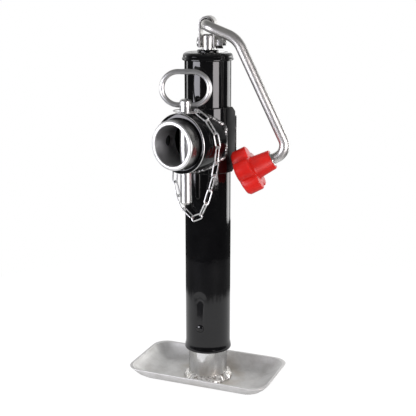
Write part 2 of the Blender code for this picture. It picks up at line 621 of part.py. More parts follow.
def build_crank(crank, collar_bottom):
    """Build the lead screw, the strap bolted across its top, the folding rod and its knob."""
    strap_out = STRAP_IN_R + STRAP_SHEET
    screw = place(lathe("lead_screw", [
        (0, POST_TOP), (5.4, POST_TOP), (SCREW_R - 0.6, POST_TOP - 1.6), (SCREW_R - 0.6, CAP_TOP - 14),
        (SCREW_R, CAP_TOP - 14.6), (SCREW_R, collar_bottom + 5), (COLLAR_R, collar_bottom + 4.4),
        (COLLAR_R, collar_bottom), (SCREW_R, collar_bottom), (SCREW_R, SCREW_BOTTOM + 2),
        (SCREW_R - 2, SCREW_BOTTOM), (0, SCREW_BOTTOM)],
        ZINC, steps=32, ring=False), crank)
    across = (0, math.pi / 2, 0)      # local +Z to the crank's +X
    hole = cylinder("cutter_bolt_hole", BOLT_R + FIT, 4 * strap_out, sides=24)
    place(hole, crank, (0, 0, BOLT_Z), across)
    cut(screw, hole)

    top = EYE_Z - BOLT_Z
    outline = ([(strap_out, STRAP_BOTTOM - BOLT_Z)] + arc_points((0, top), strap_out, 0, 180, 20)
               + [(-strap_out, STRAP_BOTTOM - BOLT_Z), (-STRAP_IN_R - FIT, STRAP_BOTTOM - BOLT_Z)]
               + arc_points((0, top), STRAP_IN_R + FIT, 180, 0, 20)
               + [(STRAP_IN_R + FIT, STRAP_BOTTOM - BOLT_Z)])
    strap = prism("handle_strap", outline, STRAP_WIDTH, ZINC)
    place(strap, crank, (0, 0, BOLT_Z), (math.pi / 2, 0, 0))
    cut(strap, hole)

    hex_r = BOLT_AF / math.sqrt(3)
    bolt = lathe("strap_bolt", [
        (0, BOLT_END), (BOLT_R - 0.8, BOLT_END), (BOLT_R, BOLT_END - 0.8), (BOLT_R, -strap_out - FIT),
        (BOLT_AF / 2, -strap_out - FIT), (BOLT_AF / 2, -strap_out - 2.2),
        (BOLT_AF / 2 - 2, -strap_out - 3.4), (0, -strap_out - 3.4)], ZINC, steps=24, ring=False)
    place(bolt, crank, (0, 0, BOLT_Z), across)
    nut_height = 6.5
    nut = place(cylinder("strap_nut", hex_r, nut_height, ZINC, sides=6), crank,
                (strap_out + 1.6 + FIT + nut_height / 2 + FIT, 0, BOLT_Z), across)
    nut_bore = place(cylinder("cutter_nut_bore", BOLT_R + FIT, 20, sides=24), crank,
                     (strap_out + 6, 0, BOLT_Z), across)
    cut(nut, nut_bore)
    place(lathe("strap_washer", ring_profile(8.0, BOLT_R + FIT, 1.6, 0.0), ZINC, steps=32), crank,
          (strap_out + FIT, 0, BOLT_Z), across)

    hinge = add_pivot("handle_hinge", (0, 0, EYE_Z), (0, 0, 0), crank)
    slope = math.radians(KNOB_SLOPE)
    knob_way = Vector((-math.cos(slope), 0, -math.sin(slope)))
    elbow = Vector((ROD_ELBOW[0], ROD_PLANE, ROD_ELBOW[1]))
    corners = [(0, ROD_TAIL, 0), (0, ROD_PLANE, 0), (ROD_KNEE[0], ROD_PLANE, ROD_KNEE[1]), elbow,
               elbow + knob_way * (KNOB_START + ROD_IN_KNOB)]
    place(wire("handle_rod", round_corners(corners, ROD_BENDS), ROD_R, ZINC, resolution=4), hinge)
    half = STRAP_WIDTH / 2
    section = ring_profile(9.4, ROD_R + FIT, half + RUNNING + 2.2, half + RUNNING, 0.5)
    place(lathe("rod_end_clip", section, ZINC), hinge, (0, 0, 0), (-math.pi / 2, 0, 0))

    spin = add_pivot("knob_axis", elbow + knob_way * KNOB_START, (0, -math.pi / 2 - slope, 0), hinge)
    build_knob(spin)


def build_knob(spin):
    """Build the lobed grip knob and the bush at its mouth, along local +Z from the mouth."""
    levels = [(0.0, KNOB_MOUTH_R - 0.6, 0.0), (0.8, KNOB_MOUTH_R, 0.0), (KNOB_NECK - 2, KNOB_NECK_R, 0.0),
              (KNOB_NECK, KNOB_NECK_R + 1.5, 0.0), (KNOB_NECK, KNOB_STAR_R - 1.2, 1.0),
              (KNOB_NECK + 1.2, KNOB_STAR_R, 1.0), (KNOB_LENGTH - 5, KNOB_STAR_R, 1.0),
              (KNOB_LENGTH - 2, KNOB_STAR_R - 2.5, 0.9), (KNOB_LENGTH - 0.5, KNOB_STAR_R - 8, 0.5),
              (KNOB_LENGTH, KNOB_STAR_R - 15, 0.0)]
    sides = KNOB_LOBES * 12
    shape = bmesh.new()
    rings = []
    for height, radius, lobe in levels:
        ring = []
        for step in range(sides):
            turn = math.tau * step / sides + math.radians(KNOB_PHASE)
            wave = (1 + math.cos(KNOB_LOBES * math.tau * step / sides)) / 2
            reach = radius * (1 - LOBE_DEPTH * lobe * (1 - wave ** LOBE_BLUNT))
            point = Vector((reach * math.cos(turn), reach * math.sin(turn), height))
            ring.append(shape.verts.new(point * MM))
        rings.append(ring)
    shape.faces.new(rings[0])
    shape.faces.new(rings[-1])
    for ring, following in zip(rings, rings[1:]):
        for index in range(sides):
            after = (index + 1) % sides
            shape.faces.new((ring[index], ring[after], following[after], following[index]))
    bmesh.ops.recalc_face_normals(shape, faces=shape.faces)
    mesh = bpy.data.meshes.new("grip_knob")
    shape.to_mesh(mesh)
    shape.free()
    knob = place(new_mesh_object("grip_knob", mesh, RED), spin)
    bush_r = KNOB_BORE_R + 2.2
    bore = place(cylinder("cutter_knob_bore", KNOB_BORE_R, 2 * (ROD_IN_KNOB + 1)), spin)
    socket = place(cylinder("cutter_knob_socket", bush_r + FIT, 2 * 8.0), spin)
    cut(knob, bore)
    cut(knob, socket)
    place(lathe("knob_bush", ring_profile(bush_r, KNOB_BORE_R, 7.6, -1.0, 0.4), BRIGHT, steps=32), spin)


def main():
    """Build every piece in order."""
    crank = add_pivot("crank_axis", (0, 0, 0), (0, 0, math.radians(CRANK_YAW)))
    build_tube()
    collar_bottom = build_bearing(crank)
    build_leg()
    build_mount()
    build_pin()
    build_chain()
    build_crank(crank, collar_bottom)


main()
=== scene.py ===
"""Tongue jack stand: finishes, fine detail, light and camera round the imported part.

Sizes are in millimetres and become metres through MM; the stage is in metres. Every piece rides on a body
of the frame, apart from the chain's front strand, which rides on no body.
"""
import logging
import math
from dataclasses import dataclass
from enum import Enum
from typing import Callable, Optional, Sequence

import bmesh
import bpy
from mathutils import Matrix, Quaternion, Vector, noise


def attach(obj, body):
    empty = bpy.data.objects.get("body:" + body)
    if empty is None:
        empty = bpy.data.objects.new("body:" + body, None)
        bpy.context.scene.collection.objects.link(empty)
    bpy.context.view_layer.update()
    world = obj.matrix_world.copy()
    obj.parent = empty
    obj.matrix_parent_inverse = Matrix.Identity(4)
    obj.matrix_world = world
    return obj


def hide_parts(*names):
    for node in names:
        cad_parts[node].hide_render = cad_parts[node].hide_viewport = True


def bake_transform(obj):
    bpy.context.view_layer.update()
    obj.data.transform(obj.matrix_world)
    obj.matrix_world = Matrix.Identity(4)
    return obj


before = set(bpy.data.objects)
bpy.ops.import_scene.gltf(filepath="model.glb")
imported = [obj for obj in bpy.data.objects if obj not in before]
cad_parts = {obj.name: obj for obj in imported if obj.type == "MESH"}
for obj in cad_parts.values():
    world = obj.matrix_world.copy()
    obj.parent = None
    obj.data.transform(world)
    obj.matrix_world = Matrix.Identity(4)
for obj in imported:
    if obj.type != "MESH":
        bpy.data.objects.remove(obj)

MM = 0.001
MERGE = 0.002            # points closer than this are one
FLAT = 0.6               # faces that meet at less than this, in degrees, are one
ANY_ANGLE = 3.1          # in radians: triangles are joined to quads at nearly any angle
THREAD_ROOT = 0.46       # half of a thread's ridge at its root, as a share of the pitch
THREAD_CREST = 0.069     # the same at its crest
THREAD_SINK = 0.15       # how deep a ridge is rooted in its bolt
THREAD_STEPS = 24        # steps in one turn of a thread
UNDRAWN = (1.0, 1.0, 1.0)      # a grain that runs no way
log = logging.getLogger("tongue_jack")

Colour = tuple[float, float, float]
Span = tuple[float, float]
Profile = Sequence[tuple[float, float]]
Socket = bpy.types.NodeSocket


class Body(Enum):
    """The moving bodies of the frame."""

    JACK = "jack_body"
    LEG = "leg"
    CRANK = "crank"
    HANDLE = "handle"
    KNOB = "knob"
    PIN = "pin"
    RING = "ring"


class Slot(Enum):
    """The record's material slots."""

    BLACK = "black_paint"
    ZINC = "zinc_plate"
    STEEL = "bearing_steel"
    BRASS = "bearing_brass"
    RED = "red_plastic"


def reckon(tree: bpy.types.NodeTree, operation: str, first: Socket, second: Socket | float) -> Socket:
    """Work out a value from two others in a node tree.

    Args:
        tree: the material's or the world's nodes.
        operation: the Math node's operation.
        first: a value.
        second: another value, or a plain number.

    Returns:
        The result.
    """
    node = tree.nodes.new("ShaderNodeMath")
    node.operation = operation
    tree.links.new(first, node.inputs[0])
    if isinstance(second, float):
        node.inputs[1].default_value = second
    else:
        tree.links.new(second, node.inputs[1])
    return node.outputs["Value"]


def ease(tree: bpy.types.NodeTree, source: Socket, run: Span, low: float, high: float) -> Socket:
    """Ease from low to high while a value goes through a run.

    Args:
        tree: the material's or the world's nodes.
        source: the value.
        run: where the value starts and ends.
        low: result at and below the start.
        high: result at and above the end.

    Returns:
        The eased value.
    """
    node = tree.nodes.new("ShaderNodeMapRange")
    node.interpolation_type = 'SMOOTHSTEP'
    for name, value in (("From Min", run[0]), ("From Max", run[1]), ("To Min", low), ("To Max", high)):
        node.inputs[name].default_value = value
    tree.links.new(source, node.inputs["Value"])
    return node.outputs["Result"]


def seen_rays(tree: bpy.types.NodeTree) -> Socket:
    """Tell the rays that show the stage, straight on or in a mirror, from those that only light.

    Args:
        tree: the material's or the world's nodes.

    Returns:
        1 for a ray that shows the stage, and 0 for one that only lights.
    """
    rays = tree.nodes.new("ShaderNodeLightPath").outputs
    mirrored = reckon(tree, 'MAXIMUM', rays["Is Glossy Ray"], rays["Is Transmission Ray"])
    return reckon(tree, 'MAXIMUM', rays["Is Camera Ray"], mirrored)


class NodeBench:
    """Lays out one material's nodes."""

    def __init__(self, name: str) -> None:
        """Start a material with its shader and its object coordinates.

        Args:
            name: the material's name.
        """
        self.material = bpy.data.materials.new(name)
        self.material.use_nodes = True
        self.tree = self.material.node_tree
        self.shader = self.tree.nodes["Principled BSDF"]
        self.place = self.tree.nodes.new("ShaderNodeTexCoord").outputs["Object"]

    def set(self, **values: float | tuple[float, ...]) -> None:
        """Set plain values on the shader's own sockets, with _ for a space in a socket's name."""
        for name, value in values.items():
            self.shader.inputs[name.replace("_", " ")].default_value = value

    def feed(self, socket: str, source: Socket) -> None:
        """Lead a pattern into one of the shader's sockets."""
        self.tree.links.new(source, self.shader.inputs[socket])

    def noise(self, scale: float, detail: float = 3.0, stretch: Sequence[float] = (1, 1, 1),
              rough: float = 0.5) -> Socket:
        """Make a noise pattern in the piece's own place.

        Args:
            scale: patterns to the metre.
            detail: octaves of finer noise.
            stretch: scale along each axis.
            rough: weight of the finer octaves.

        Returns:
            The pattern's value.
        """
        mapping = self.tree.nodes.new("ShaderNodeMapping")
        mapping.inputs["Scale"].default_value = stretch
        self.tree.links.new(self.place, mapping.inputs["Vector"])
        pattern = self.tree.nodes.new("ShaderNodeTexNoise")
        pattern.inputs["Scale"].default_value = scale
        pattern.inputs["Detail"].default_value = detail
        pattern.inputs["Roughness"].default_value = rough
        self.tree.links.new(mapping.outputs["Vector"], pattern.inputs["Vector"])
        return pattern.outputs["Fac"]

    def cells(self, scale: float) -> Socket:
        """Make a pattern of crystal cells, each with one value.

        Args:
            scale: cells to the metre.

        Returns:
            The pattern's value.
        """
        pattern = self.tree.nodes.new("ShaderNodeTexVoronoi")
        pattern.inputs["Scale"].default_value = scale
        self.tree.links.new(self.place, pattern.inputs["Vector"])
        parts = self.tree.nodes.new("ShaderNodeSeparateColor")
        self.tree.links.new(pattern.outputs["Color"], parts.inputs["Color"])
        return parts.outputs["Red"]

    def spread(self, source: Socket, low: float, high: float, run: Span = (0.3, 0.7)) -> Socket:
        """Spread a pattern's middle run over the values from low to high."""
        return ease(self.tree, source, run, low, high)

    def times(self, first: Socket, second: Socket) -> Socket:
        """Multiply two patterns."""
        return reckon(self.tree, 'MULTIPLY', first, second)

    def near_axis(self, run: Span) -> Socket:
        """Make a pattern that fades with the distance from the upright axis.

        Args:
            run: distances in metres where the pattern starts to fall from 1 and where it is 0.

        Returns:
            The pattern's value.
        """
        flat = self.tree.nodes.new("ShaderNodeVectorMath")
        flat.operation = 'MULTIPLY'
        flat.inputs[1].default_value = (1.0, 1.0, 0.0)
        self.tree.links.new(self.place, flat.inputs[0])
        reach = self.tree.nodes.new("ShaderNodeVectorMath")
        reach.operation = 'LENGTH'
        self.tree.links.new(flat.outputs["Vector"], reach.inputs[0])
        return self.spread(reach.outputs["Value"], 1.0, 0.0, run)

    def ramp(self, source: Socket, tints: Sequence[Colour], run: Span) -> Socket:
        """Colour a pattern with tints that are evenly spaced over a run of its values.

        Args:
            source: the pattern.
            tints: the colours, from the lowest value up.
            run: values of the first and the last colour.

        Returns:
            The colour.
        """
        node = self.tree.nodes.new("ShaderNodeValToRGB")
        band = node.color_ramp
        gap = (run[1] - run[0]) / (len(tints) - 1)
        band.elements[0].position, band.elements[0].color = run[0], (*tints[0], 1.0)
        band.elements[1].position, band.elements[1].color = run[1], (*tints[-1], 1.0)
        for step, tint in enumerate(tints[1:-1], 1):
            band.elements.new(run[0] + gap * step).color = (*tint, 1.0)
        self.tree.links.new(source, node.inputs["Fac"])
        return node.outputs["Color"]

    def blend(self, share: Socket, under: Socket, over: Colour) -> Socket:
        """Lay a colour over another by a pattern.

        Args:
            share: how much of the upper colour shows.
            under: the lower colour.
            over: the upper colour.

        Returns:
            The mixed colour.
        """
        node = self.tree.nodes.new("ShaderNodeMix")
        node.data_type = 'RGBA'
        self.tree.links.new(share, node.inputs["Factor"])
        colours = [socket for socket in node.inputs if socket.type == 'RGBA']
        self.tree.links.new(under, colours[0])
        colours[1].default_value = (*over, 1.0)
        return [socket for socket in node.outputs if socket.type == 'RGBA'][0]

    def edges(self) -> Socket:
        """Read where a piece's rounded edges are.

        Returns:
            1 on a rounded edge, and 0 elsewhere.
        """
        node = self.tree.nodes.new("ShaderNodeAttribute")
        node.attribute_name = "edge"
        return node.outputs["Fac"]

    def bump(self, source: Socket, height: float, strength: float = 1.0) -> None:
        """Raise the surface by a pattern.

        Args:
            source: the pattern.
            height: the full height in millimetres.
            strength: share of that height that is used.
        """
        node = self.tree.nodes.new("ShaderNodeBump")
        node.inputs["Strength"].default_value = strength
        node.inputs["Distance"].default_value = height * MM
        self.tree.links.new(source, node.inputs["Height"])
        self.feed("Normal", node.outputs["Normal"])


@dataclass(frozen=True)
class Enamel:
    """Gloss enamel with a faint orange peel, dust and chipped edges; the bare chips are also a painted
    highlight on the edges.
    """

    name: str = "gloss_black_enamel"
    slot: Slot = Slot.BLACK
    colour: Colour = (0.0018, 0.0018, 0.0022)
    dust: Colour = (0.0045, 0.0045, 0.005)
    # Colour of the chips: bare metal, and also a painted edge highlight
    bare_and_highlight: Colour = (0.16, 0.15, 0.14)
    rough: Span = (0.04, 0.09)
    peel: float = 0.05
    shine: float = 0.5
    dust_scale: float = 38.0
    dust_run: Span = (0.35, 0.75)
    chip_and_highlight_scale: float = 420.0
    chip_and_highlight_rough: float = 0.7
    chip_and_highlight_run: Span = (0.60, 0.66)
    peel_scale: float = 110.0

    def lay(self) -> bpy.types.Material:
        """Lay out the finish's nodes.

        Returns:
            The material.
        """
        bench = NodeBench(self.name)
        cloud = bench.noise(self.dust_scale, 5)
        chips_and_highlight = bench.spread(bench.noise(self.chip_and_highlight_scale, 5, rough=self.chip_and_highlight_rough), 0.0, 1.0, self.chip_and_highlight_run)
        # Bare chips on the rounded edges: wear, and also a painted highlight along them
        wear_and_highlight = bench.times(bench.edges(), chips_and_highlight)
        paint = bench.ramp(cloud, (self.colour, self.dust), self.dust_run)
        bench.feed("Base Color", bench.blend(wear_and_highlight, paint, self.bare_and_highlight))
        bench.feed("Roughness", bench.spread(cloud, *self.rough))
        bench.bump(bench.noise(self.peel_scale, 4), self.peel)
        bench.set(Specular_IOR_Level=self.shine)
        return bench.material


@dataclass(frozen=True)
class Plating:
    """Bright plated steel: drawn streaks, cloudy tint and polished edges."""

    name: str = "zinc_plate"
    slot: Slot = Slot.ZINC
    tints: tuple[Colour, ...] = ((0.64, 0.645, 0.65), (0.73, 0.73, 0.72), (0.79, 0.78, 0.75))
    polish: Colour = (0.82, 0.81, 0.79)
    rough: Span = (0.28, 0.38)
    streak: tuple[float, float, float] = (1.0, 1.0, 0.06)
    grain: float = 0.002
    spangle: float = 0.0
    rim: float = 0.6
    metal: float = 1.0
    scorch: Colour = (0.40, 0.34, 0.26)
    scorched: Optional[Span] = None
    cloud_scale: float = 46.0
    cloud_rough: float = 0.6
    cloud_run: Span = (0.3, 0.7)
    streak_scale: float = 700.0
    streak_bump: float = 0.4
    flake_share: float = 0.22
    flake_run: Span = (0.1, 0.95)
    scorch_scale: float = 30.0
    scorch_share: float = 0.5
    scorch_run: Span = (0.42, 0.60)

    def lay(self) -> bpy.types.Material:
        """Lay out the finish's nodes.

        Returns:
            The material.
        """
        bench = NodeBench(self.name)
        cloud = bench.noise(self.cloud_scale, 5, rough=self.cloud_rough)
        drawn = bench.noise(self.streak_scale, 4, self.streak)
        tint = bench.ramp(cloud, self.tints, self.cloud_run)
        if self.spangle:
            flakes = bench.spread(bench.cells(self.spangle), 0.0, self.flake_share, self.flake_run)
            tint = bench.blend(flakes, tint, self.polish)
        if self.scorched:
            burnt = bench.noise(self.scorch_scale, 4)
            patches = bench.spread(burnt, 0.0, self.scorch_share, self.scorch_run)
            tint = bench.blend(bench.times(bench.near_axis(self.scorched), patches), tint, self.scorch)
        bench.feed("Base Color", bench.blend(bench.edges(), tint, self.polish))
        bench.feed("Roughness", bench.spread(drawn, *self.rough))
        bench.bump(drawn, self.grain, self.streak_bump)
        bench.set(Metallic=self.metal, Specular_Tint=(self.rim, self.rim, self.rim, 1.0))
        return bench.material


@dataclass(frozen=True)
class Moulding:
    """Moulded plastic with a fine spark texture, rubbed brighter on its edges."""

    name: str = "red_plastic"
    slot: Slot = Slot.RED
    colour: Colour = (0.58, 0.014, 0.009)
    deep: Colour = (0.48, 0.010, 0.007)
    rubbed: Colour = (0.70, 0.045, 0.03)
    rough: Span = (0.30, 0.42)
    shine: float = 0.25
    cloud_scale: float = 60.0
    cloud_run: Span = (0.35, 0.6)
    rub_scale: float = 170.0
    rub_share: float = 0.7
    rub_run: Span = (0.4, 0.65)
    spark: float = 0.03
    spark_scale: float = 1500.0
    spark_bump: float = 0.35

    def lay(self) -> bpy.types.Material:
        """Lay out the finish's nodes.

        Returns:
            The material.
        """
        bench = NodeBench(self.name)
        cloud = bench.noise(self.cloud_scale, 4)
        rub = bench.spread(bench.noise(self.rub_scale, 4), 0.0, self.rub_share, self.rub_run)
        tint = bench.ramp(cloud, (self.deep, self.colour), self.cloud_run)
        bench.feed("Base Color", bench.blend(bench.times(bench.edges(), rub), tint, self.rubbed))
        bench.feed("Roughness", bench.spread(cloud, *self.rough))
        bench.bump(bench.noise(self.spark_scale, 2), self.spark, self.spark_bump)
        bench.set(Specular_IOR_Level=self.shine)
        return bench.material


@dataclass(frozen=True)
class WeldMetal:
    """Weld metal with heat tint, crust and spatter."""

    name: str = "weld_metal"
    slot: Slot = Slot.ZINC
    tints: tuple[Colour, ...] = ((0.24, 0.19, 0.14), (0.66, 0.645, 0.61), (0.80, 0.79, 0.76))
    rough: Span = (0.18, 0.45)
    metal: float = 1.0
    shine: float = 0.5
    crust_scale: float = 150.0
    crust_rough: float = 0.65
    crust_run: Span = (0.32, 0.62)
    rough_scale: float = 300.0
    spatter: float = 0.25
    spatter_scale: float = 420.0
    spatter_bump: float = 0.6

    def lay(self) -> bpy.types.Material:
        """Lay out the finish's nodes.

        Returns:
            The material.
        """
        bench = NodeBench(self.name)
        crust = bench.noise(self.crust_scale, 6, rough=self.crust_rough)
        bench.feed("Base Color", bench.ramp(crust, self.tints, self.crust_run))
        bench.feed("Roughness", bench.spread(bench.noise(self.rough_scale, 4), *self.rough))
        bench.bump(bench.noise(self.spatter_scale, 4), self.spatter, self.spatter_bump)
        bench.set(Metallic=self.metal, Specular_IOR_Level=self.shine)
        return bench.material


ENAMEL = Enamel()
DULL_ENAMEL = Enamel("dull_enamel", rough=(0.40, 0.55), shine=0.1)
ZINC = Plating()
LEG_ZINC = Plating("leg_zinc", tints=((0.76, 0.765, 0.77), (0.84, 0.84, 0.83), (0.90, 0.89, 0.86)),
                   rough=(0.14, 0.24), metal=0.95)
ROD_ZINC = Plating("rod_zinc", tints=((0.60, 0.59, 0.57), (0.70, 0.69, 0.67), (0.76, 0.745, 0.71)),
                   rough=(0.38, 0.46), streak=UNDRAWN, grain=0.0015, rim=0.85)
WIRE_ZINC = Plating("wire_zinc", tints=((0.70, 0.70, 0.70), (0.78, 0.78, 0.77), (0.84, 0.83, 0.81)),
                    rough=(0.30, 0.40), streak=UNDRAWN)
TRAY_ZINC = Plating("tray_zinc", tints=((0.52, 0.51, 0.49), (0.62, 0.615, 0.60), (0.70, 0.695, 0.68)),
                    polish=(0.78, 0.775, 0.76), rough=(0.46, 0.58), streak=UNDRAWN, grain=0.008,
                    spangle=95.0, metal=0.65, scorched=(0.034, 0.056))
STUB_STEEL = Plating("stub_steel", tints=((0.28, 0.28, 0.28), (0.38, 0.38, 0.37), (0.46, 0.45, 0.44)),
                     rough=(0.26, 0.35), streak=UNDRAWN)
# Bright cut steel: the stub's real cut end, and a painted highlight round the sleeve's lip
CUT_STEEL_AND_HIGHLIGHT = Plating("cut_steel_and_painted_highlight", tints=((0.80, 0.80, 0.79), (0.86, 0.86, 0.85), (0.90, 0.89, 0.88)),
                    rough=(0.44, 0.54), streak=UNDRAWN)
BORE_STEEL = Plating("bore_steel", tints=((0.56, 0.56, 0.56), (0.66, 0.66, 0.66), (0.72, 0.72, 0.71)),
                     rough=(0.42, 0.55), streak=UNDRAWN)
BEARING_STEEL = Plating("oiled_steel", Slot.STEEL, rough=(0.28, 0.42),
                        tints=((0.20, 0.20, 0.20), (0.32, 0.32, 0.32), (0.40, 0.39, 0.38)))
BEARING_BRASS = Plating("cage_brass", Slot.BRASS, polish=(0.72, 0.58, 0.30), rough=(0.28, 0.40),
                        tints=((0.42, 0.30, 0.12), (0.55, 0.42, 0.20), (0.62, 0.48, 0.24)))
RED = Moulding()
FOOT_WELD = WeldMetal(metal=0.6)
PAINTED_WELD = WeldMetal("painted_weld", Slot.BLACK, rough=(0.45, 0.60), metal=0.0, shine=0.15,
                         tints=((0.006, 0.006, 0.007), (0.02, 0.02, 0.02), (0.16, 0.16, 0.16)))
SLEEVE_WELD = WeldMetal("sleeve_weld", Slot.BLACK, rough=(0.12, 0.30), metal=0.8,
                        tints=((0.010, 0.010, 0.011), (0.10, 0.10, 0.10), (0.62, 0.61, 0.60)))
Finish = Enamel | Plating | Moulding | WeldMetal
_laid: dict[str, bpy.types.Material] = {}


def material_of(finish: Finish) -> bpy.types.Material:
    """Lay a finish once and give its material.

    Args:
        finish: the finish.

    Returns:
        The material.
    """
    if finish.name not in _laid:
        _laid[finish.name] = finish.lay()
    return _laid[finish.name]


class Draft:
    """A mesh on the bench, shaped with bmesh operators and then made a piece."""

    def __init__(self) -> None:
        """Start with nothing."""
        self.bm = bmesh.new()

    @classmethod
    def copy_of(cls, node: str) -> "Draft":
        """Start from a copy of a node's solid, with its loose triangles merged into whole faces.

        Args:
            node: the node's name.

        Returns:
            The draft.
        """
        draft = cls()
        draft.bm.from_mesh(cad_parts[node].data)
        bmesh.ops.remove_doubles(draft.bm, verts=draft.bm.verts, dist=MERGE * MM)
        bmesh.ops.dissolve_limit(draft.bm, angle_limit=math.radians(FLAT), verts=draft.bm.verts,
                                 edges=draft.bm.edges)
        return draft

    def clean(self) -> "Draft":
        """Merge doubles and turn every face outwards.

        Returns:
            The draft.
        """
        bmesh.ops.remove_doubles(self.bm, verts=self.bm.verts, dist=MERGE * MM)
        bmesh.ops.recalc_face_normals(self.bm, faces=self.bm.faces)
        return self

    def turn(self, profile: Profile, steps: int = 96, ring: bool = True) -> "Draft":
        """Turn a profile about Z.

        Args:
            profile: (radius, height) points.
            steps: steps round.
            ring: whether the profile closes on itself.

        Returns:
            The draft.
        """
        verts = [self.bm.verts.new((radius * MM, 0.0, height * MM)) for radius, height in profile]
        edges = [self.bm.edges.new(pair) for pair in zip(verts, verts[1:])]
        if ring:
            edges.append(self.bm.edges.new((verts[-1], verts[0])))
        bmesh.ops.spin(self.bm, geom=verts + edges, cent=(0, 0, 0), axis=(0, 0, 1), angle=math.tau,
                       steps=steps, use_merge=True)
        return self.clean()

    def sweep(self, path: Sequence[Vector], radius: float, sides: int = 16, closed: bool = False,
              swell: Optional[Callable[[int], float]] = None) -> "Draft":
        """Draw a round wire along a path.

        Args:
            path: points in metres.
            radius: the wire's radius in millimetres.
            sides: sides of the wire's section.
            closed: whether the path is a loop.
            swell: how much thicker the wire is at a point of the path.

        Returns:
            The draft.
        """
        count = len(path)
        ways = []
        for index, point in enumerate(path):
            ahead = path[(index + 1) % count] if closed or index < count - 1 else point
            back = path[index - 1] if closed or index else point
            ways.append((ahead - back).normalized())
        turn = Vector((0, 0, 1)).rotation_difference(ways[0])
        places = []
        for index, point in enumerate(path):
            if index:
                turn = ways[index - 1].rotation_difference(ways[index]) @ turn
            size = radius * MM * (swell(index) if swell else 1.0)
            places.append(Matrix.LocRotScale(point, turn, Vector((size, size, size))))
        ring = bmesh.ops.create_circle(self.bm, cap_ends=False, radius=1.0, segments=sides)["verts"]
        bmesh.ops.transform(self.bm, matrix=places[0], verts=ring)
        first = list({edge for vert in ring for edge in vert.link_edges})
        last = first
        for before, after in zip(places, places[1:]):
            made = bmesh.ops.extrude_edge_only(self.bm, edges=last)["geom"]
            fresh = {item for item in made if isinstance(item, bmesh.types.BMVert)}
            edges = [item for item in made if isinstance(item, bmesh.types.BMEdge)]
            last = [edge for edge in edges if set(edge.verts) <= fresh]
            bmesh.ops.transform(self.bm, matrix=after @ before.inverted(), verts=list(fresh))
        if closed:
            bmesh.ops.bridge_loops(self.bm, edges=first + last)
        else:
            bmesh.ops.contextual_create(self.bm, geom=first)
            bmesh.ops.contextual_create(self.bm, geom=last)
        return self.clean()

    def thread(self, radius: float, depth: float, pitch: float, start: float, end: float) -> "Draft":
        """Wind a thread's ridge about Z.

        Args:
            radius: the thread's root radius.
            depth: height of the ridge.
            pitch: rise of one turn.
            start: height where it starts.
            end: height where it ends.

        Returns:
            The draft.
        """
        root, crest = THREAD_ROOT * pitch, THREAD_CREST * pitch
        sunk, tip = radius - THREAD_SINK, radius + depth
        corners = ((sunk, -root), (tip, -crest), (tip, crest), (sunk, root))
        verts = [self.bm.verts.new((x * MM, 0.0, (start + root + z) * MM)) for x, z in corners]
        face = self.bm.faces.new(verts)
        turns = (end - start - pitch) / pitch
        steps = round(THREAD_STEPS * turns)
        bmesh.ops.spin(self.bm, geom=[face, *face.edges, *verts], cent=(0, 0, 0), axis=(0, 0, 1),
                       dvec=(0, 0, pitch * turns * MM / steps), angle=math.tau * turns, steps=steps)
        return self.clean()

    def move(self, place: Matrix) -> "Draft":
        """Move the whole draft."""
        bmesh.ops.transform(self.bm, matrix=place, verts=self.bm.verts)
        return self

    def push(self, change: Callable[[Vector], Vector]) -> "Draft":
        """Move every vertex by a rule.

        Args:
            change: gives a vertex's new place.

        Returns:
            The draft.
        """
        for vert in self.bm.verts:
            vert.co = change(vert.co)
        return self

    def bevel(self, width: float, segments: int = 2, angle: float = 30.0,
              where: Optional[Callable[[Vector], bool]] = None, wear_and_highlight: bool = True) -> "Draft":
        """Round the sharp edges and mark the rounded faces for wear, which on enamel is also a painted
        highlight.

        Args:
            width: width of the rounding.
            segments: steps across it.
            angle: least angle in degrees that counts as an edge.
            where: tells which edges take it, by their middle.
            wear_and_highlight: whether the rounded faces take the mark for wear and painted highlight.

        Returns:
            The draft.
        """
        layer = self.bm.faces.layers.float.get("edge") or self.bm.faces.layers.float.new("edge")
        sharp = [edge for edge in self.bm.edges
                 if len(edge.link_faces) == 2 and edge.calc_face_angle(0.0) > math.radians(angle)
                 and (where is None or where((edge.verts[0].co + edge.verts[1].co) / 2))]
        made = bmesh.ops.bevel(self.bm, geom=sharp, offset=width * MM, offset_type='OFFSET',
                               segments=segments, profile=0.5, affect='EDGES', clamp_overlap=True,
                               material=-1)
        for face in made["faces"]:
            face[layer] = 1.0 if wear_and_highlight else 0.0
        return self

    def carve(self, cutter: "Draft") -> "Draft":
        """Take another draft out of this one.

        Args:
            cutter: the shape that is taken out.

        Returns:
            The draft.
        """
        items = []
        for draft in (self, cutter):
            mesh = bpy.data.meshes.new("carving")
            draft.bm.to_mesh(mesh)
            draft.bm.free()
            items.append(bpy.data.objects.new("carving", mesh))
            bpy.context.scene.collection.objects.link(items[-1])
        knife = items[0].modifiers.new("carve", 'BOOLEAN')
        knife.operation = 'DIFFERENCE'
        knife.solver = 'EXACT'
        knife.object = items[1]
        cut = items[0].evaluated_get(bpy.context.evaluated_depsgraph_get())
        self.bm = bmesh.new()
        self.bm.from_mesh(cut.to_mesh())
        for item in items:
            bpy.data.meshes.remove(item.data)
        return self

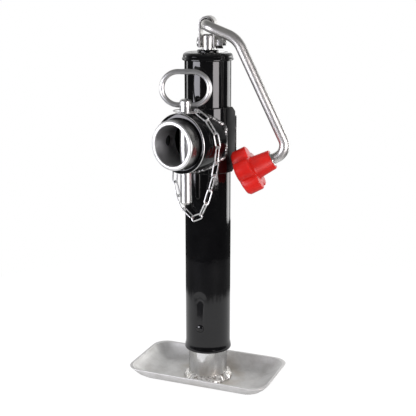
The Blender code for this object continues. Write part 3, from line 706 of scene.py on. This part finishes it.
    def piece(self, name: str, body: Optional[Body], finish: Finish, *nodes: str, sharp: float = 36.0,
              rounds: int = 0) -> bpy.types.Object:
        """Make the draft a piece of the object.

        Args:
            name: the piece's name.
            body: the body that it rides on, or None for a piece left off every body.
            finish: its finish.
            nodes: the nodes that it stands for.
            sharp: angle in degrees above which an edge stays crisp.
            rounds: how often a smoothing subdivision is applied.

        Returns:
            The piece.
        """
        if rounds:
            bmesh.ops.join_triangles(self.bm, faces=self.bm.faces, angle_face_threshold=ANY_ANGLE,
                                     angle_shape_threshold=ANY_ANGLE)
        for face in self.bm.faces:
            face.smooth = True
        for edge in self.bm.edges:
            edge.smooth = edge.calc_face_angle(0.0) < math.radians(sharp)
        mesh = bpy.data.meshes.new(name)
        self.bm.to_mesh(mesh)
        self.bm.free()
        item = bpy.data.objects.new(name, mesh)
        bpy.context.scene.collection.objects.link(item)
        if rounds:
            soft = item.modifiers.new("soft", 'SUBSURF')
            soft.levels = soft.render_levels = rounds
            made = item.evaluated_get(bpy.context.evaluated_depsgraph_get())
            item.data = bpy.data.meshes.new_from_object(made)
            item.modifiers.clear()
        item.data.materials.clear()
        item.data.materials.append(material_of(finish))
        if body is not None:
            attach(item, body.value)
        if nodes:
            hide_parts(*nodes)
        log.info("%s: %d faces on %s", name, len(item.data.polygons), body.value if body else "two bodies")
        return item


def keep_node(node: str, finish: Finish) -> None:
    """Keep a node's own solid and give it a finish.

    Args:
        node: the node's name.
        finish: its finish.
    """
    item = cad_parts[node]
    item.data.materials.clear()
    item.data.materials.append(material_of(finish))


def edged(node: str, name: str, body: Body, finish: Finish, edge: float, segments: int = 2,
          angle: float = 40.0, sharp: float = 36.0) -> bpy.types.Object:
    """Make a piece that copies a node's solid with its sharp edges rounded.

    Args:
        node: the node that the piece stands for.
        name: the piece's name.
        body: the body that it rides on.
        finish: its finish.
        edge: width of the rounding.
        segments: steps across it.
        angle: least angle in degrees that counts as an edge.
        sharp: angle in degrees above which an edge stays crisp.

    Returns:
        The piece.
    """
    return Draft.copy_of(node).bevel(edge, segments, angle).piece(name, body, finish, node, sharp=sharp)


def bent_path(corners: Sequence[Vector], radii: Sequence[float], steps: int = 16) -> list[Vector]:
    """Round the inner corners of a path.

    Args:
        corners: the path's corners.
        radii: bend radius at each inner corner.
        steps: steps in each bend.

    Returns:
        The path's points.
    """
    path = [corners[0]]
    for before, corner, after, radius in zip(corners, corners[1:], corners[2:], radii):
        back = (before - corner).normalized()
        ahead = (after - corner).normalized()
        half = back.angle(ahead) / 2
        centre = corner + (back + ahead).normalized() * radius / math.sin(half)
        start = corner + back * radius / math.tan(half) - centre
        end = corner + ahead * radius / math.tan(half) - centre
        axis, whole = start.cross(end), start.angle(end)
        path += [centre + Quaternion(axis, whole * step / steps) @ start for step in range(steps + 1)]
    return path + [corners[-1]]


def facing_front(height: float) -> Matrix:
    """Turn local +Z to the front of the jack, at a height in millimetres."""
    return Matrix.Translation((0, 0, height * MM)) @ Matrix.Rotation(math.pi / 2, 4, 'X')


@dataclass
class TubeBody:
    """The outer tube with its flared mouth, pressed guide groove, rivet, cap and boss."""

    radius: float = 28.575
    bore: float = 25.675
    bottom: float = 44.0
    top: float = 420.5
    steps: int = 288
    plain_rows: tuple[float, ...] = (160.0, 280.0)
    mouth_round: float = 0.6
    # The flared mouth: out from the tube's skin, and up from its end
    mouth: Profile = ((0.5, 0.0), (1.15, 0.3), (1.4, 1.1), (1.35, 2.2), (0.95, 4.2), (0.45, 6.5),
                      (0.12, 8.6), (0.0, 10.5))
    groove_azimuth: float = 14.5
    groove_width: float = 17.5
    groove_low: float = 65.0
    groove_high: float = 126.0
    groove_depth: float = 1.3
    groove_start: float = 0.2      # share of the depth at the groove's low end
    groove_ease: float = 6.0
    groove_margin: int = 3         # rows of faces past the groove's ends, one to a millimetre
    slot_width: float = 11.0
    slot_low: float = 69.5
    slot_high: float = 115.5
    slot_depth: float = 1.3
    slot_ease: float = 1.4
    cap_top: float = 423.0
    cap_hole: float = 9.4
    cap_gap: float = 0.3
    cap_wall: float = 1.6
    cap_plate: float = 2.2
    cap_height: float = 9.5
    # The cap's crown, out from the tube's skin, and its rim, out from the skirt, both up from the top
    cap_crown: Profile = ((-9.0, 0.0), (-7.6, -0.15), (-6.2, -1.0), (-5.0, -1.0), (-3.6, -0.3),
                          (-1.6, -0.35))
    cap_rim: Profile = ((-1.3, -1.5), (-0.35, -2.9), (0.0, -4.4), (0.0, -6.0), (0.7, -7.0), (1.0, -7.8),
                        (0.9, -8.8), (0.3, -9.5))
    boss_bore: float = 8.5
    boss_radius: float = 13.0
    boss_top: float = 2.9
    boss_foot: float = 0.3
    boss_round: float = 1.0
    boss_corner: float = 0.3

    @staticmethod
    def sunk(side: float, height: float, half: float, ends: tuple[float, float], ease: float) -> float:
        """Tell how far a round-ended hollow is sunk at a place, from 0 outside it to 1 on its floor.

        Args:
            side: distance across from the hollow's middle line.
            height: height on the tube.
            half: half of the hollow's width.
            ends: the hollow's lowest and highest points.
            ease: run of the slope from rim to floor.

        Returns:
            The share of the full depth.
        """
        over = max(ends[0] + half - height, height - ends[1] + half, 0.0)
        share = min(max((half - math.hypot(side, over)) / ease, 0.0), 1.0)
        return share * share * (3 - 2 * share)

    def pressed(self, point: Vector) -> Vector:
        """Press the guide groove into the tube's skin.

        Args:
            point: a vertex of the tube.

        Returns:
            The vertex's new place.
        """
        turn = math.radians(self.groove_azimuth - 90)
        out = Vector((math.cos(turn), math.sin(turn), 0))
        reach = Vector((point.x, point.y, 0))
        if reach.length < (self.bore + self.radius) / 2 * MM or reach.dot(out) < 0:
            return point
        side, height = reach.cross(out).z / MM, point.z / MM
        climb = min(max((height - self.slot_low) / (self.slot_high - self.slot_low), 0.0), 1.0)
        share = self.groove_start + (1 - self.groove_start) * climb
        depth = share * self.groove_depth * self.sunk(
            side, height, self.groove_width / 2, (self.groove_low, self.groove_high), self.groove_ease)
        depth += climb * self.slot_depth * self.sunk(
            side, height, self.slot_width / 2, (self.slot_low, self.slot_high), self.slot_ease)
        return point - reach.normalized() * depth * MM

    def build_tube(self) -> None:
        """Build the tube with its flared mouth and its pressed groove."""
        low, inside = self.bottom, self.bore
        rows = round(self.groove_high - self.groove_low) + 2 * self.groove_margin + 1
        skin = [(self.radius + out, low + up) for out, up in self.mouth]
        skin += [(self.radius, self.groove_low - self.groove_margin + row) for row in range(rows)]
        skin += [(self.radius, height) for height in (*self.plain_rows, self.top)]
        skin += [(inside, self.top), (inside, low + self.mouth_round), (inside + self.mouth_round, low)]
        tube = Draft().turn(skin, self.steps).push(self.pressed)
        tube.piece("tube_skin", Body.JACK, ENAMEL, "outer_tube", sharp=50)

    def build_cap(self) -> None:
        """Build the pressed cap and the boss on it."""
        top, skirt = self.cap_top, self.radius + self.cap_gap
        outer, under = skirt + self.cap_wall, top - self.cap_plate
        cap = [(self.cap_hole, top)]
        cap += [(self.radius + out, top + up) for out, up in self.cap_crown]
        cap += [(outer + out, top + up) for out, up in self.cap_rim]
        cap += [(skirt, top - self.cap_height), (skirt, under), (self.cap_hole, under)]
        Draft().turn(cap, steps=144).piece("pressed_cap", Body.JACK, ENAMEL, "top_cap", sharp=60)
        side, high, foot = self.boss_radius, top + self.boss_top, top + self.boss_foot
        boss = [(self.boss_bore, high), (side - self.boss_round, high),
                (side - self.boss_corner, high - self.boss_corner), (side, high - self.boss_round),
                (side, foot), (self.boss_bore, foot)]
        Draft().turn(boss, steps=72).piece("turned_boss", Body.JACK, ENAMEL, "cap_boss", sharp=50)

    def build(self) -> None:
        """Build the tube, the cap, the boss and the rivet."""
        self.build_tube()
        self.build_cap()
        Draft.copy_of("guide_rivet").piece("domed_rivet", Body.JACK, ENAMEL, "guide_rivet", rounds=1)
        for node in ("bearing_seat", "bearing_lower_race"):
            keep_node(node, BEARING_STEEL)


@dataclass
class SwivelMount:
    """The wrapped bracket, the sleeve, the stub pipe that turns in it and their welds."""

    height: float = 318.5
    steps: int = 144
    bracket_out: float = 32.575
    bracket_edge: float = 0.7
    flank_start: float = 5.0
    sleeve_radius: float = 36.5
    sleeve_bore: float = 30.7
    sleeve_front: float = 58.0
    sleeve_back: float = 12.0
    saddle_gap: float = 0.3
    saddle_reach: float = 60.0
    lip: float = 1.4
    lip_corner: tuple[float, float] = (0.5, 0.4)
    stub_radius: float = 30.15
    stub_bore: float = 24.6
    stub_front: float = 74.0
    stub_back: float = 34.5
    roll: float = 3.2
    chamfer: float = 0.8
    skin: float = 0.5              # faces no deeper than this are on a pipe's skin
    pin_y: float = -45.0
    pin_hole: float = 7.75
    pin_past: float = 20.0
    bead: float = 2.1
    bead_x: float = 30.6
    bead_y: float = 13.6
    bead_half: float = 28.0
    bead_step: float = 0.8
    seam: float = 2.4
    seam_points: int = 220
    seam_out: float = 0.5
    seam_lift: float = 0.7
    seam_past: float = 0.6
    seam_back: float = 0.8
    ripple_share: float = 0.10
    ripple_turn: float = 1.9       # radians from one point of a bead to the next
    lump_share: float = 0.16
    lump_pace: float = 0.23
    lump_row: float = 3.1

    def pin_bore(self, turn: float = 0.0) -> Draft:
        """Draft a cross hole for the pin, upright or turned about the stub's axis.

        Args:
            turn: degrees from upright.

        Returns:
            The hole's solid.
        """
        reach = self.sleeve_radius + self.pin_past
        profile = [(0, -reach), (self.pin_hole, -reach), (self.pin_hole, reach), (0, reach)]
        middle = Matrix.Translation((0, self.pin_y * MM, self.height * MM))
        return Draft().turn(profile, steps=48, ring=False).move(
            middle @ Matrix.Rotation(math.radians(turn), 4, 'Y'))

    def build_bracket(self) -> None:
        """Build the bracket, with duller paint on the flanks that run back to the welds."""
        wrap = edged("swivel_bracket", "bracket_wrap", Body.JACK, ENAMEL, self.bracket_edge, 3, angle=30.0)
        wrap.data.materials.append(material_of(DULL_ENAMEL))
        for face in wrap.data.polygons:
            if face.center.y > -self.flank_start * MM:
                face.material_index = 1

    def build_sleeve(self) -> None:
        """Build the sleeve with its saddle against the bracket and a painted highlight of bright steel round
        its lip.
        """
        outer, bore, front = self.sleeve_radius, self.sleeve_bore, self.sleeve_front
        profile = [(bore, front - self.chamfer), (bore + self.chamfer, front), (outer - self.lip, front),
                   (outer - self.lip_corner[0], front - self.lip_corner[1]), (outer, front - self.lip),
                   (outer, self.sleeve_back), (bore, self.sleeve_back)]
        sleeve = Draft().turn(profile, self.steps).move(facing_front(self.height))
        seat, reach = self.bracket_out + self.saddle_gap, self.saddle_reach
        section = [(0, -reach), (seat, -reach), (seat, reach), (0, reach)]
        saddle = Draft().turn(section, self.steps, ring=False)
        saddle.move(Matrix.Translation((0, 0, self.height * MM)))
        sleeve.carve(saddle).carve(self.pin_bore())
        shell = sleeve.piece("sleeve_shell", Body.JACK, ENAMEL, "swivel_sleeve", sharp=40)
        # The outer front edge takes bright cut steel, a painted highlight round the sleeve's lip
        shell.data.materials.append(material_of(CUT_STEEL_AND_HIGHLIGHT))
        for face in shell.data.polygons:
            reach = math.hypot(face.center.x, face.center.z - self.height * MM)
            if reach > (outer - self.skin) * MM and face.center.y < -(front - self.lip) * MM:
                face.material_index = 1

    def build_stub(self) -> None:
        """Build the stub pipe with its rolled outer edge and bright cut end."""
        outer, bore, front = self.stub_radius, self.stub_bore, self.stub_front
        turns = [math.radians(angle) for angle in range(0, 91, 15)]
        rolled = [(outer - self.roll * (1 - math.sin(turn)), front - self.roll * (1 - math.cos(turn)))
                  for turn in turns]
        profile = [(bore, front - self.chamfer), (bore + self.chamfer, front), *rolled,
                   (outer, self.stub_back), (bore, self.stub_back)]
        stub = Draft().turn(profile, self.steps).move(facing_front(self.height))
        stub.carve(self.pin_bore()).carve(self.pin_bore(90))
        shell = stub.piece("stub_shell", Body.JACK, STUB_STEEL, "stub_pipe", sharp=40)
        for finish in (CUT_STEEL_AND_HIGHLIGHT, BORE_STEEL):
            shell.data.materials.append(material_of(finish))
        for face in shell.data.polygons:
            reach = math.hypot(face.center.x, face.center.z - self.height * MM)
            inside = reach < (bore + self.skin) * MM
            at_end = face.center.y < -(front - self.roll / 2) * MM
            by_pin = abs(face.center.y - self.pin_y * MM) < self.pin_hole * MM
            if at_end or (by_pin and not inside and reach < (outer - self.skin) * MM):
                face.material_index = 1
            elif inside:
                face.material_index = 2

    def build_welds(self) -> None:
        """Lay the rippled beads between bracket and tube and round the sleeve's saddle."""
        count = round(2 * self.bead_half / self.bead_step) + 1
        foot = self.height - self.bead_half
        for side, word in ((1, "right"), (-1, "left")):
            path = [Vector((side * self.bead_x, self.bead_y, foot + self.bead_step * step)) * MM
                    for step in range(count)]
            Draft().sweep(path, self.bead, sides=14, swell=self.ripple).piece(
                "bead_" + word, Body.JACK, PAINTED_WELD, "bracket_weld_" + word, sharp=80)
        saddle = []
        reach, wrap = self.sleeve_radius + self.seam_out, self.bracket_out + self.seam_lift
        side = wrap + self.seam_past
        for step in range(self.seam_points):
            turn = math.tau * step / self.seam_points
            x = max(min(reach * math.cos(turn), side), -side)
            y = -max(math.sqrt(max(wrap * wrap - x * x, 0.0)), self.sleeve_back - self.seam_back)
            saddle.append(Vector((x, y, self.height + reach * math.sin(turn))) * MM)
        Draft().sweep(saddle, self.seam, sides=12, closed=True, swell=self.ripple).piece(
            "saddle_bead", Body.JACK, SLEEVE_WELD, sharp=80)

    def ripple(self, step: int) -> float:
        """Swell a bead in overlapping ripples.

        Args:
            step: number of the point along the bead.

        Returns:
            The bead's thickness there, as a share of its plain one.
        """
        lump = noise.noise(Vector((step * self.lump_pace, self.lump_row, 0)))
        return 1.0 + self.ripple_share * math.sin(step * self.ripple_turn) + self.lump_share * lump

    def build(self) -> None:
        """Build the mount's pieces."""
        self.build_bracket()
        self.build_sleeve()
        self.build_stub()
        self.build_welds()
        Draft.copy_of("chain_staple").piece("staple_wire", Body.JACK, ENAMEL, "chain_staple", rounds=1)


@dataclass
class LegAndFoot:
    """The drop leg with its slot, the tray foot and the weld between them."""

    leg_radius: float = 24.75
    leg_edge: float = 0.35
    fold_round: float = 15.0
    fold_steps: int = 8
    fold_angle: float = 20.0
    fold_height: float = 5.0
    tray_edge: float = 0.9
    weld_height: float = 3.8
    weld_run: float = 6.5
    weld_gap: float = 0.3
    weld_flat: float = 1.4         # 1 is a round bead, and 2 a flat one
    weld_rise: float = 0.6
    ripple: float = 0.165
    ripple_count: int = 34
    sway: float = 2.0
    sway_count: int = 3
    lump: float = 2.0
    lump_scale: float = 4.2
    lump_row: float = 0.4
    grit: float = 0.45
    grit_scale: float = 260.0

    def weld_swell(self, point: Vector) -> Vector:
        """Break the weld's even bead into uneven ripples and drops.

        Args:
            point: a vertex of the bead.

        Returns:
            The vertex's new place.
        """
        reach = Vector((point.x, point.y, 0))
        turn = math.atan2(point.y, point.x)
        out = max((reach.length / MM - self.leg_radius - self.weld_gap) / self.weld_run, 0)
        rise = max((point.z / MM - self.weld_height) / self.weld_run, 0)
        wave = math.sin(turn * self.ripple_count + self.sway * math.sin(turn * self.sway_count))
        lump = noise.noise(Vector((math.cos(turn), math.sin(turn), self.lump_row)) * self.lump_scale)
        grit = noise.noise(point * self.grit_scale)
        grow = (self.ripple * wave + self.lump * lump + self.grit * grit) * MM
        return point + reach.normalized() * grow * out + Vector((0, 0, grow * self.weld_rise * rise))

    def build(self) -> None:
        """Build the leg's pieces."""
        edged("leg_tube", "leg_skin", Body.LEG, LEG_ZINC, self.leg_edge, sharp=30)
        tray = Draft.copy_of("foot_plate")
        tray.bevel(self.fold_round, self.fold_steps, self.fold_angle,
                   lambda middle: middle.z < self.fold_height * MM, wear_and_highlight=False)
        tray.bevel(self.tray_edge, 3, angle=40)
        tray.piece("tray", Body.LEG, TRAY_ZINC, "foot_plate", sharp=30)
        base, run, leg = self.weld_height, self.weld_run, self.leg_radius + self.weld_gap
        turns = [math.radians(angle) for angle in range(0, 91, 9)]
        arc = [(leg + run * math.cos(turn) ** self.weld_flat, base + run * math.sin(turn) ** self.weld_flat)
               for turn in turns]
        Draft().turn(arc + [(leg, base)], steps=240).push(self.weld_swell).piece(
            "leg_bead", Body.LEG, FOOT_WELD, "foot_weld", sharp=80)
        keep_node("drive_nut", BEARING_STEEL)


@dataclass
class PinAndRing:
    """The locking pin, its oval pull ring and the split ring."""

    pin_y: float = -45.0
    pin_edge: float = 0.5
    hole_z: float = 363.6
    ring_yaw: float = 30.0
    half_width: float = 28.4
    rise: float = 39.2
    wire: float = 3.15

    def build(self) -> None:
        """Build the pin and its two rings."""
        edged("pull_pin", "pin_shank", Body.PIN, ZINC, self.pin_edge, sharp=30)
        place = (Matrix.Translation((0, self.pin_y * MM, self.hole_z * MM))
                 @ Matrix.Rotation(math.radians(self.ring_yaw), 4, 'Z'))
        bend = self.rise / 2
        straight = self.half_width - bend
        loop = []
        for side in (1, -1):
            for angle in range(-90, 91, 5):
                turn = math.radians(angle)
                point = Vector((straight + bend * math.cos(turn), 0, bend * math.sin(turn))) * side
                loop.append(place @ ((point + Vector((0, 0, bend))) * MM))
        Draft().sweep(loop, self.wire, sides=20, closed=True).piece(
            "oval_ring", Body.RING, WIRE_ZINC, "pull_ring")
        Draft.copy_of("split_ring").piece("coiled_ring", Body.PIN, WIRE_ZINC, "split_ring", rounds=1)


@dataclass
class TetherChain:
    """The chain from the split ring to the staple."""

    links: int = 13
    following: int = 8
    hook: tuple[float, float, float] = (18.8, -47.4, 356.0)
    lowest: tuple[float, float, float] = (18.8, -47.4, 224.0)

    def build(self) -> None:
        """Build the links; those of the front strand ride on no body, with their places baked in."""
        for number in range(1, self.links + 1):
            node = f"chain_link_{number:02d}"
            draft = Draft.copy_of(node)
            if number > self.following:
                draft.piece(f"link_{number:02d}", Body.JACK, WIRE_ZINC, node, rounds=1)
            else:
                link = draft.piece(f"link_{number:02d}", None, WIRE_ZINC, node, rounds=1)
                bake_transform(link)


@dataclass
class CrankAndKnob:
    """The strap bolted on the screw, the folding rod and the star knob."""

    yaw: float = 26.0
    eye_z: float = 456.0
    bolt_z: float = 434.6
    bolt_end: float = 22.5
    bolt_radius: float = 3.9
    thread_start: float = 11.0
    thread_stop: float = 0.4
    thread_pitch: float = 1.25
    thread_depth: float = 0.45
    thread_root: float = 0.1
    fine_edge: float = 0.3
    post_edge: float = 0.4
    strap_edge: float = 0.6
    nut_edge: float = 0.7
    rod_radius: float = 6.35
    rod_tail: float = 13.6
    rod_plane: float = -24.5
    rod_bends: tuple[float, float, float] = (12.0, 30.0, 16.0)
    knee: tuple[float, float] = (38.6, -15.4)
    elbow: tuple[float, float] = (102.0, -147.2)
    slope: float = 28.0
    rod_end: float = 58.6
    rod_edge: float = 0.8
    knob_edge: float = 0.8

    def arm(self) -> Matrix:
        """Give the crank's own frame, with its arm along +X."""
        return Matrix.Rotation(math.radians(self.yaw), 4, 'Z')

    def build_crank(self) -> None:
        """Build the strap, its bolt with nut and washer, and the screw's post."""
        edged("handle_strap", "strap_bend", Body.CRANK, ROD_ZINC, self.strap_edge, 3, angle=30.0)
        edged("strap_bolt", "bolt_shank", Body.CRANK, ZINC, self.fine_edge, sharp=30)
        across = Matrix.Translation((0, 0, self.bolt_z * MM)) @ Matrix.Rotation(math.pi / 2, 4, 'Y')
        thread = Draft().thread(self.bolt_radius - self.thread_root, self.thread_depth, self.thread_pitch,
                                self.thread_start, self.bolt_end - self.thread_stop)
        thread.move(self.arm() @ across).piece("bolt_thread", Body.CRANK, ZINC, sharp=50)
        edged("strap_nut", "hex_nut", Body.CRANK, ZINC, self.nut_edge)
        edged("strap_washer", "flat_washer", Body.CRANK, ZINC, self.fine_edge)
        edged("lead_screw", "screw_post", Body.CRANK, ZINC, self.post_edge)
        keep_node("bearing_cage", BEARING_BRASS)
        keep_node("bearing_upper_race", BEARING_STEEL)

    def build_handle(self) -> None:
        """Build the bent rod with its clip, and the knob with its bush."""
        slope = math.radians(self.slope)
        elbow = Vector((self.elbow[0], self.rod_plane, self.elbow[1]))
        corners = [Vector((0, self.rod_tail, 0)), Vector((0, self.rod_plane, 0)),
                   Vector((self.knee[0], self.rod_plane, self.knee[1])), elbow,
                   elbow + Vector((-math.cos(slope), 0, -math.sin(slope))) * self.rod_end]
        place = self.arm() @ Matrix.Translation((0, 0, self.eye_z * MM))
        path = [place @ (point * MM) for point in bent_path(corners, self.rod_bends)]
        Draft().sweep(path, self.rod_radius, sides=32).bevel(self.rod_edge, 3, angle=60).piece(
            "bent_rod", Body.HANDLE, ROD_ZINC, "handle_rod", sharp=50)
        edged("rod_end_clip", "end_clip", Body.HANDLE, ZINC, self.fine_edge)
        edged("grip_knob", "star_knob", Body.KNOB, RED, self.knob_edge, 3, angle=32, sharp=34)
        edged("knob_bush", "mouth_bush", Body.KNOB, ZINC, self.fine_edge)

    def build(self) -> None:
        """Build the crank, the handle and the knob."""
        self.build_crank()
        self.build_handle()


@dataclass(frozen=True)
class Lamp:
    """One soft lamp: degrees round from the front, metres out and up, and the height that it aims at."""

    name: str
    azimuth: float
    distance: float
    height: float
    aim: float
    size: tuple[float, float]
    power: float
    colour: Colour = (1.0, 1.0, 1.0)
    mirrored: bool = True


# The boxes stand low, so that the upper tube mirrors them as upright strips
LAMPS = (
    Lamp("left_box", -22, 1.0, 0.30, 0.30, (0.66, 0.50), 8.2, (0.93, 0.92, 1.0)),
    Lamp("right_box", 75, 1.0, 0.30, 0.30, (0.52, 0.50), 6.5, (1.0, 0.95, 0.97)),
    Lamp("rear_box", 158, 1.0, 0.25, 0.25, (0.50, 0.60), 3.6),
    Lamp("back_box", 198, 1.0, 0.25, 0.25, (0.62, 0.60), 1.4),
    Lamp("side_box", -86, 1.0, 0.30, 0.30, (0.20, 0.50), 0.8),
    Lamp("top_soft", -20, 0.35, 1.5, 0.24, (1.2, 1.2), 7.0, mirrored=False),
)


@dataclass
class Studio:
    """The floor, the light and the camera."""

    camera_place: tuple[float, float, float] = (0.6583, -0.9061, 0.510)
    camera_pitch: float = 75.9
    camera_yaw: float = 36.0
    lens: float = 79.44
    sensor: float = 36.0
    floor_radius: float = 0.55
    floor_fade: tuple[float, float] = (0.36, 0.42)
    floor_ragged: float = 0.08
    ragged_scale: float = 14.0
    floor_white: float = 0.86
    floor_mirrored: float = 0.52
    floor_glow: float = 1.08
    floor_rough: float = 0.9
    room: float = 0.45
    room_colour: Colour = (0.97, 0.98, 1.0)
    dark: float = 0.05
    roof: float = 0.18
    # Runs over the way that a ray goes: straight back, and up
    backdrop_side: Span = (0.0, 0.8)
    backdrop_foot: Span = (-0.08, 0.12)
    backdrop_top: Span = (0.4, 0.8)
    roof_edge: Span = (0.3, 0.85)

    def build_floor(self) -> None:
        """Lay a white floor that keeps a soft shadow and darkens outwards in what mirrors it."""
        bm = bmesh.new()
        bmesh.ops.create_circle(bm, cap_ends=True, radius=self.floor_radius, segments=96)
        mesh = bpy.data.meshes.new("floor")
        bm.to_mesh(mesh)
        bm.free()
        floor = bpy.data.objects.new("floor", mesh)
        bpy.context.scene.collection.objects.link(floor)
        material = bpy.data.materials.new("floor_white")
        material.use_nodes = True
        tree = material.node_tree
        reach = tree.nodes.new("ShaderNodeVectorMath")
        reach.operation = 'LENGTH'
        tree.links.new(tree.nodes.new("ShaderNodeTexCoord").outputs["Object"], reach.inputs[0])
        ragged = tree.nodes.new("ShaderNodeTexNoise")
        ragged.inputs["Scale"].default_value = self.ragged_scale
        uneven = reckon(tree, 'MULTIPLY', ragged.outputs["Fac"], self.floor_ragged)
        edge = reckon(tree, 'ADD', reach.outputs["Value"], uneven)
        fade = ease(tree, edge, self.floor_fade, self.floor_mirrored, self.dark)
        camera_ray = tree.nodes.new("ShaderNodeLightPath").outputs["Is Camera Ray"]
        lit = reckon(tree, 'MAXIMUM', fade, reckon(tree, 'MULTIPLY', camera_ray, self.floor_white))
        shader = tree.nodes["Principled BSDF"]
        shader.inputs["Roughness"].default_value = self.floor_rough
        tree.links.new(lit, shader.inputs["Base Color"])
        white = tree.nodes.new("ShaderNodeEmission")
        white.inputs["Strength"].default_value = self.floor_glow
        mix = tree.nodes.new("ShaderNodeMixShader")
        tree.links.new(reckon(tree, 'MULTIPLY', seen_rays(tree), lit), mix.inputs["Fac"])
        tree.links.new(shader.outputs["BSDF"], mix.inputs[1])
        tree.links.new(white.outputs["Emission"], mix.inputs[2])
        tree.links.new(mix.outputs["Shader"], tree.nodes["Material Output"].inputs["Surface"])
        mesh.materials.append(material)

    def build_world(self) -> None:
        """Make the surroundings: a white backdrop behind the object, a dark studio and an even light."""
        world = bpy.data.worlds.new("studio")
        world.use_nodes = True
        bpy.context.scene.world = world
        tree = world.node_tree
        way = tree.nodes.new("ShaderNodeTexCoord").outputs["Generated"]
        parts = tree.nodes.new("ShaderNodeSeparateXYZ")
        tree.links.new(way, parts.inputs["Vector"])
        along = tree.nodes.new("ShaderNodeVectorMath")
        along.operation = 'DOT_PRODUCT'
        turn = math.radians(self.camera_yaw)
        along.inputs[1].default_value = (-math.sin(turn), math.cos(turn), 0.0)
        tree.links.new(way, along.inputs[0])
        behind = ease(tree, along.outputs["Value"], self.backdrop_side, self.dark, 1.0)
        standing = ease(tree, parts.outputs["Z"], self.backdrop_foot, self.dark, 1.0)
        hung = ease(tree, parts.outputs["Z"], self.backdrop_top, 1.0, self.dark)
        roof = ease(tree, parts.outputs["Z"], self.roof_edge, 0.0, self.roof)
        backdrop = reckon(tree, 'MINIMUM', behind, reckon(tree, 'MINIMUM', standing, hung))
        camera_ray = tree.nodes.new("ShaderNodeLightPath").outputs["Is Camera Ray"]
        white = tree.nodes.new("ShaderNodeBackground")
        white.inputs["Color"].default_value = (1.0, 1.0, 1.0, 1.0)
        tree.links.new(reckon(tree, 'MAXIMUM', reckon(tree, 'MAXIMUM', backdrop, roof), camera_ray),
                       white.inputs["Strength"])
        room = tree.nodes["Background"]
        room.inputs["Color"].default_value = (*self.room_colour, 1.0)
        room.inputs["Strength"].default_value = self.room
        mix = tree.nodes.new("ShaderNodeMixShader")
        tree.links.new(seen_rays(tree), mix.inputs["Fac"])
        tree.links.new(room.outputs["Background"], mix.inputs[1])
        tree.links.new(white.outputs["Background"], mix.inputs[2])
        tree.links.new(mix.outputs["Shader"], tree.nodes["World Output"].inputs["Surface"])

    def add_lamp(self, lamp: Lamp) -> None:
        """Hang one soft lamp that faces the object.

        Args:
            lamp: the lamp's place, size, power and colour.
        """
        data = bpy.data.lights.new(lamp.name, 'AREA')
        data.shape = 'RECTANGLE'
        data.size, data.size_y = lamp.size
        data.energy = lamp.power
        data.color = lamp.colour
        item = bpy.data.objects.new(lamp.name, data)
        turn = math.radians(lamp.azimuth)
        item.location = (lamp.distance * math.sin(turn), -lamp.distance * math.cos(turn), lamp.height)
        way = item.location - Vector((0, 0, lamp.aim))
        item.rotation_euler = way.to_track_quat('Z', 'Y').to_euler()
        item.visible_camera = False
        item.visible_glossy = lamp.mirrored
        bpy.context.scene.collection.objects.link(item)

    def build(self) -> None:
        """Set the floor, the world, the lamps and the camera."""
        self.build_floor()
        self.build_world()
        for lamp in LAMPS:
            self.add_lamp(lamp)
        data = bpy.data.cameras.new("photo_camera")
        data.lens = self.lens
        data.sensor_width = self.sensor
        camera = bpy.data.objects.new("photo_camera", data)
        camera.location = self.camera_place
        camera.rotation_euler = (math.radians(self.camera_pitch), 0, math.radians(self.camera_yaw))
        bpy.context.scene.collection.objects.link(camera)
        bpy.context.scene.camera = camera
        bpy.context.scene.view_settings.view_transform = 'Standard'


def main() -> None:
    """Build every sub-assembly, then the studio."""
    logging.basicConfig(level=logging.INFO, format="%(message)s")
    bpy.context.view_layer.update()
    jack = (TubeBody(), SwivelMount(), LegAndFoot(), PinAndRing(), TetherChain(), CrankAndKnob())
    for assembly in (*jack, Studio()):
        log.info("building %s", type(assembly).__name__)
        assembly.build()


if __name__ == "__main__":
    main()
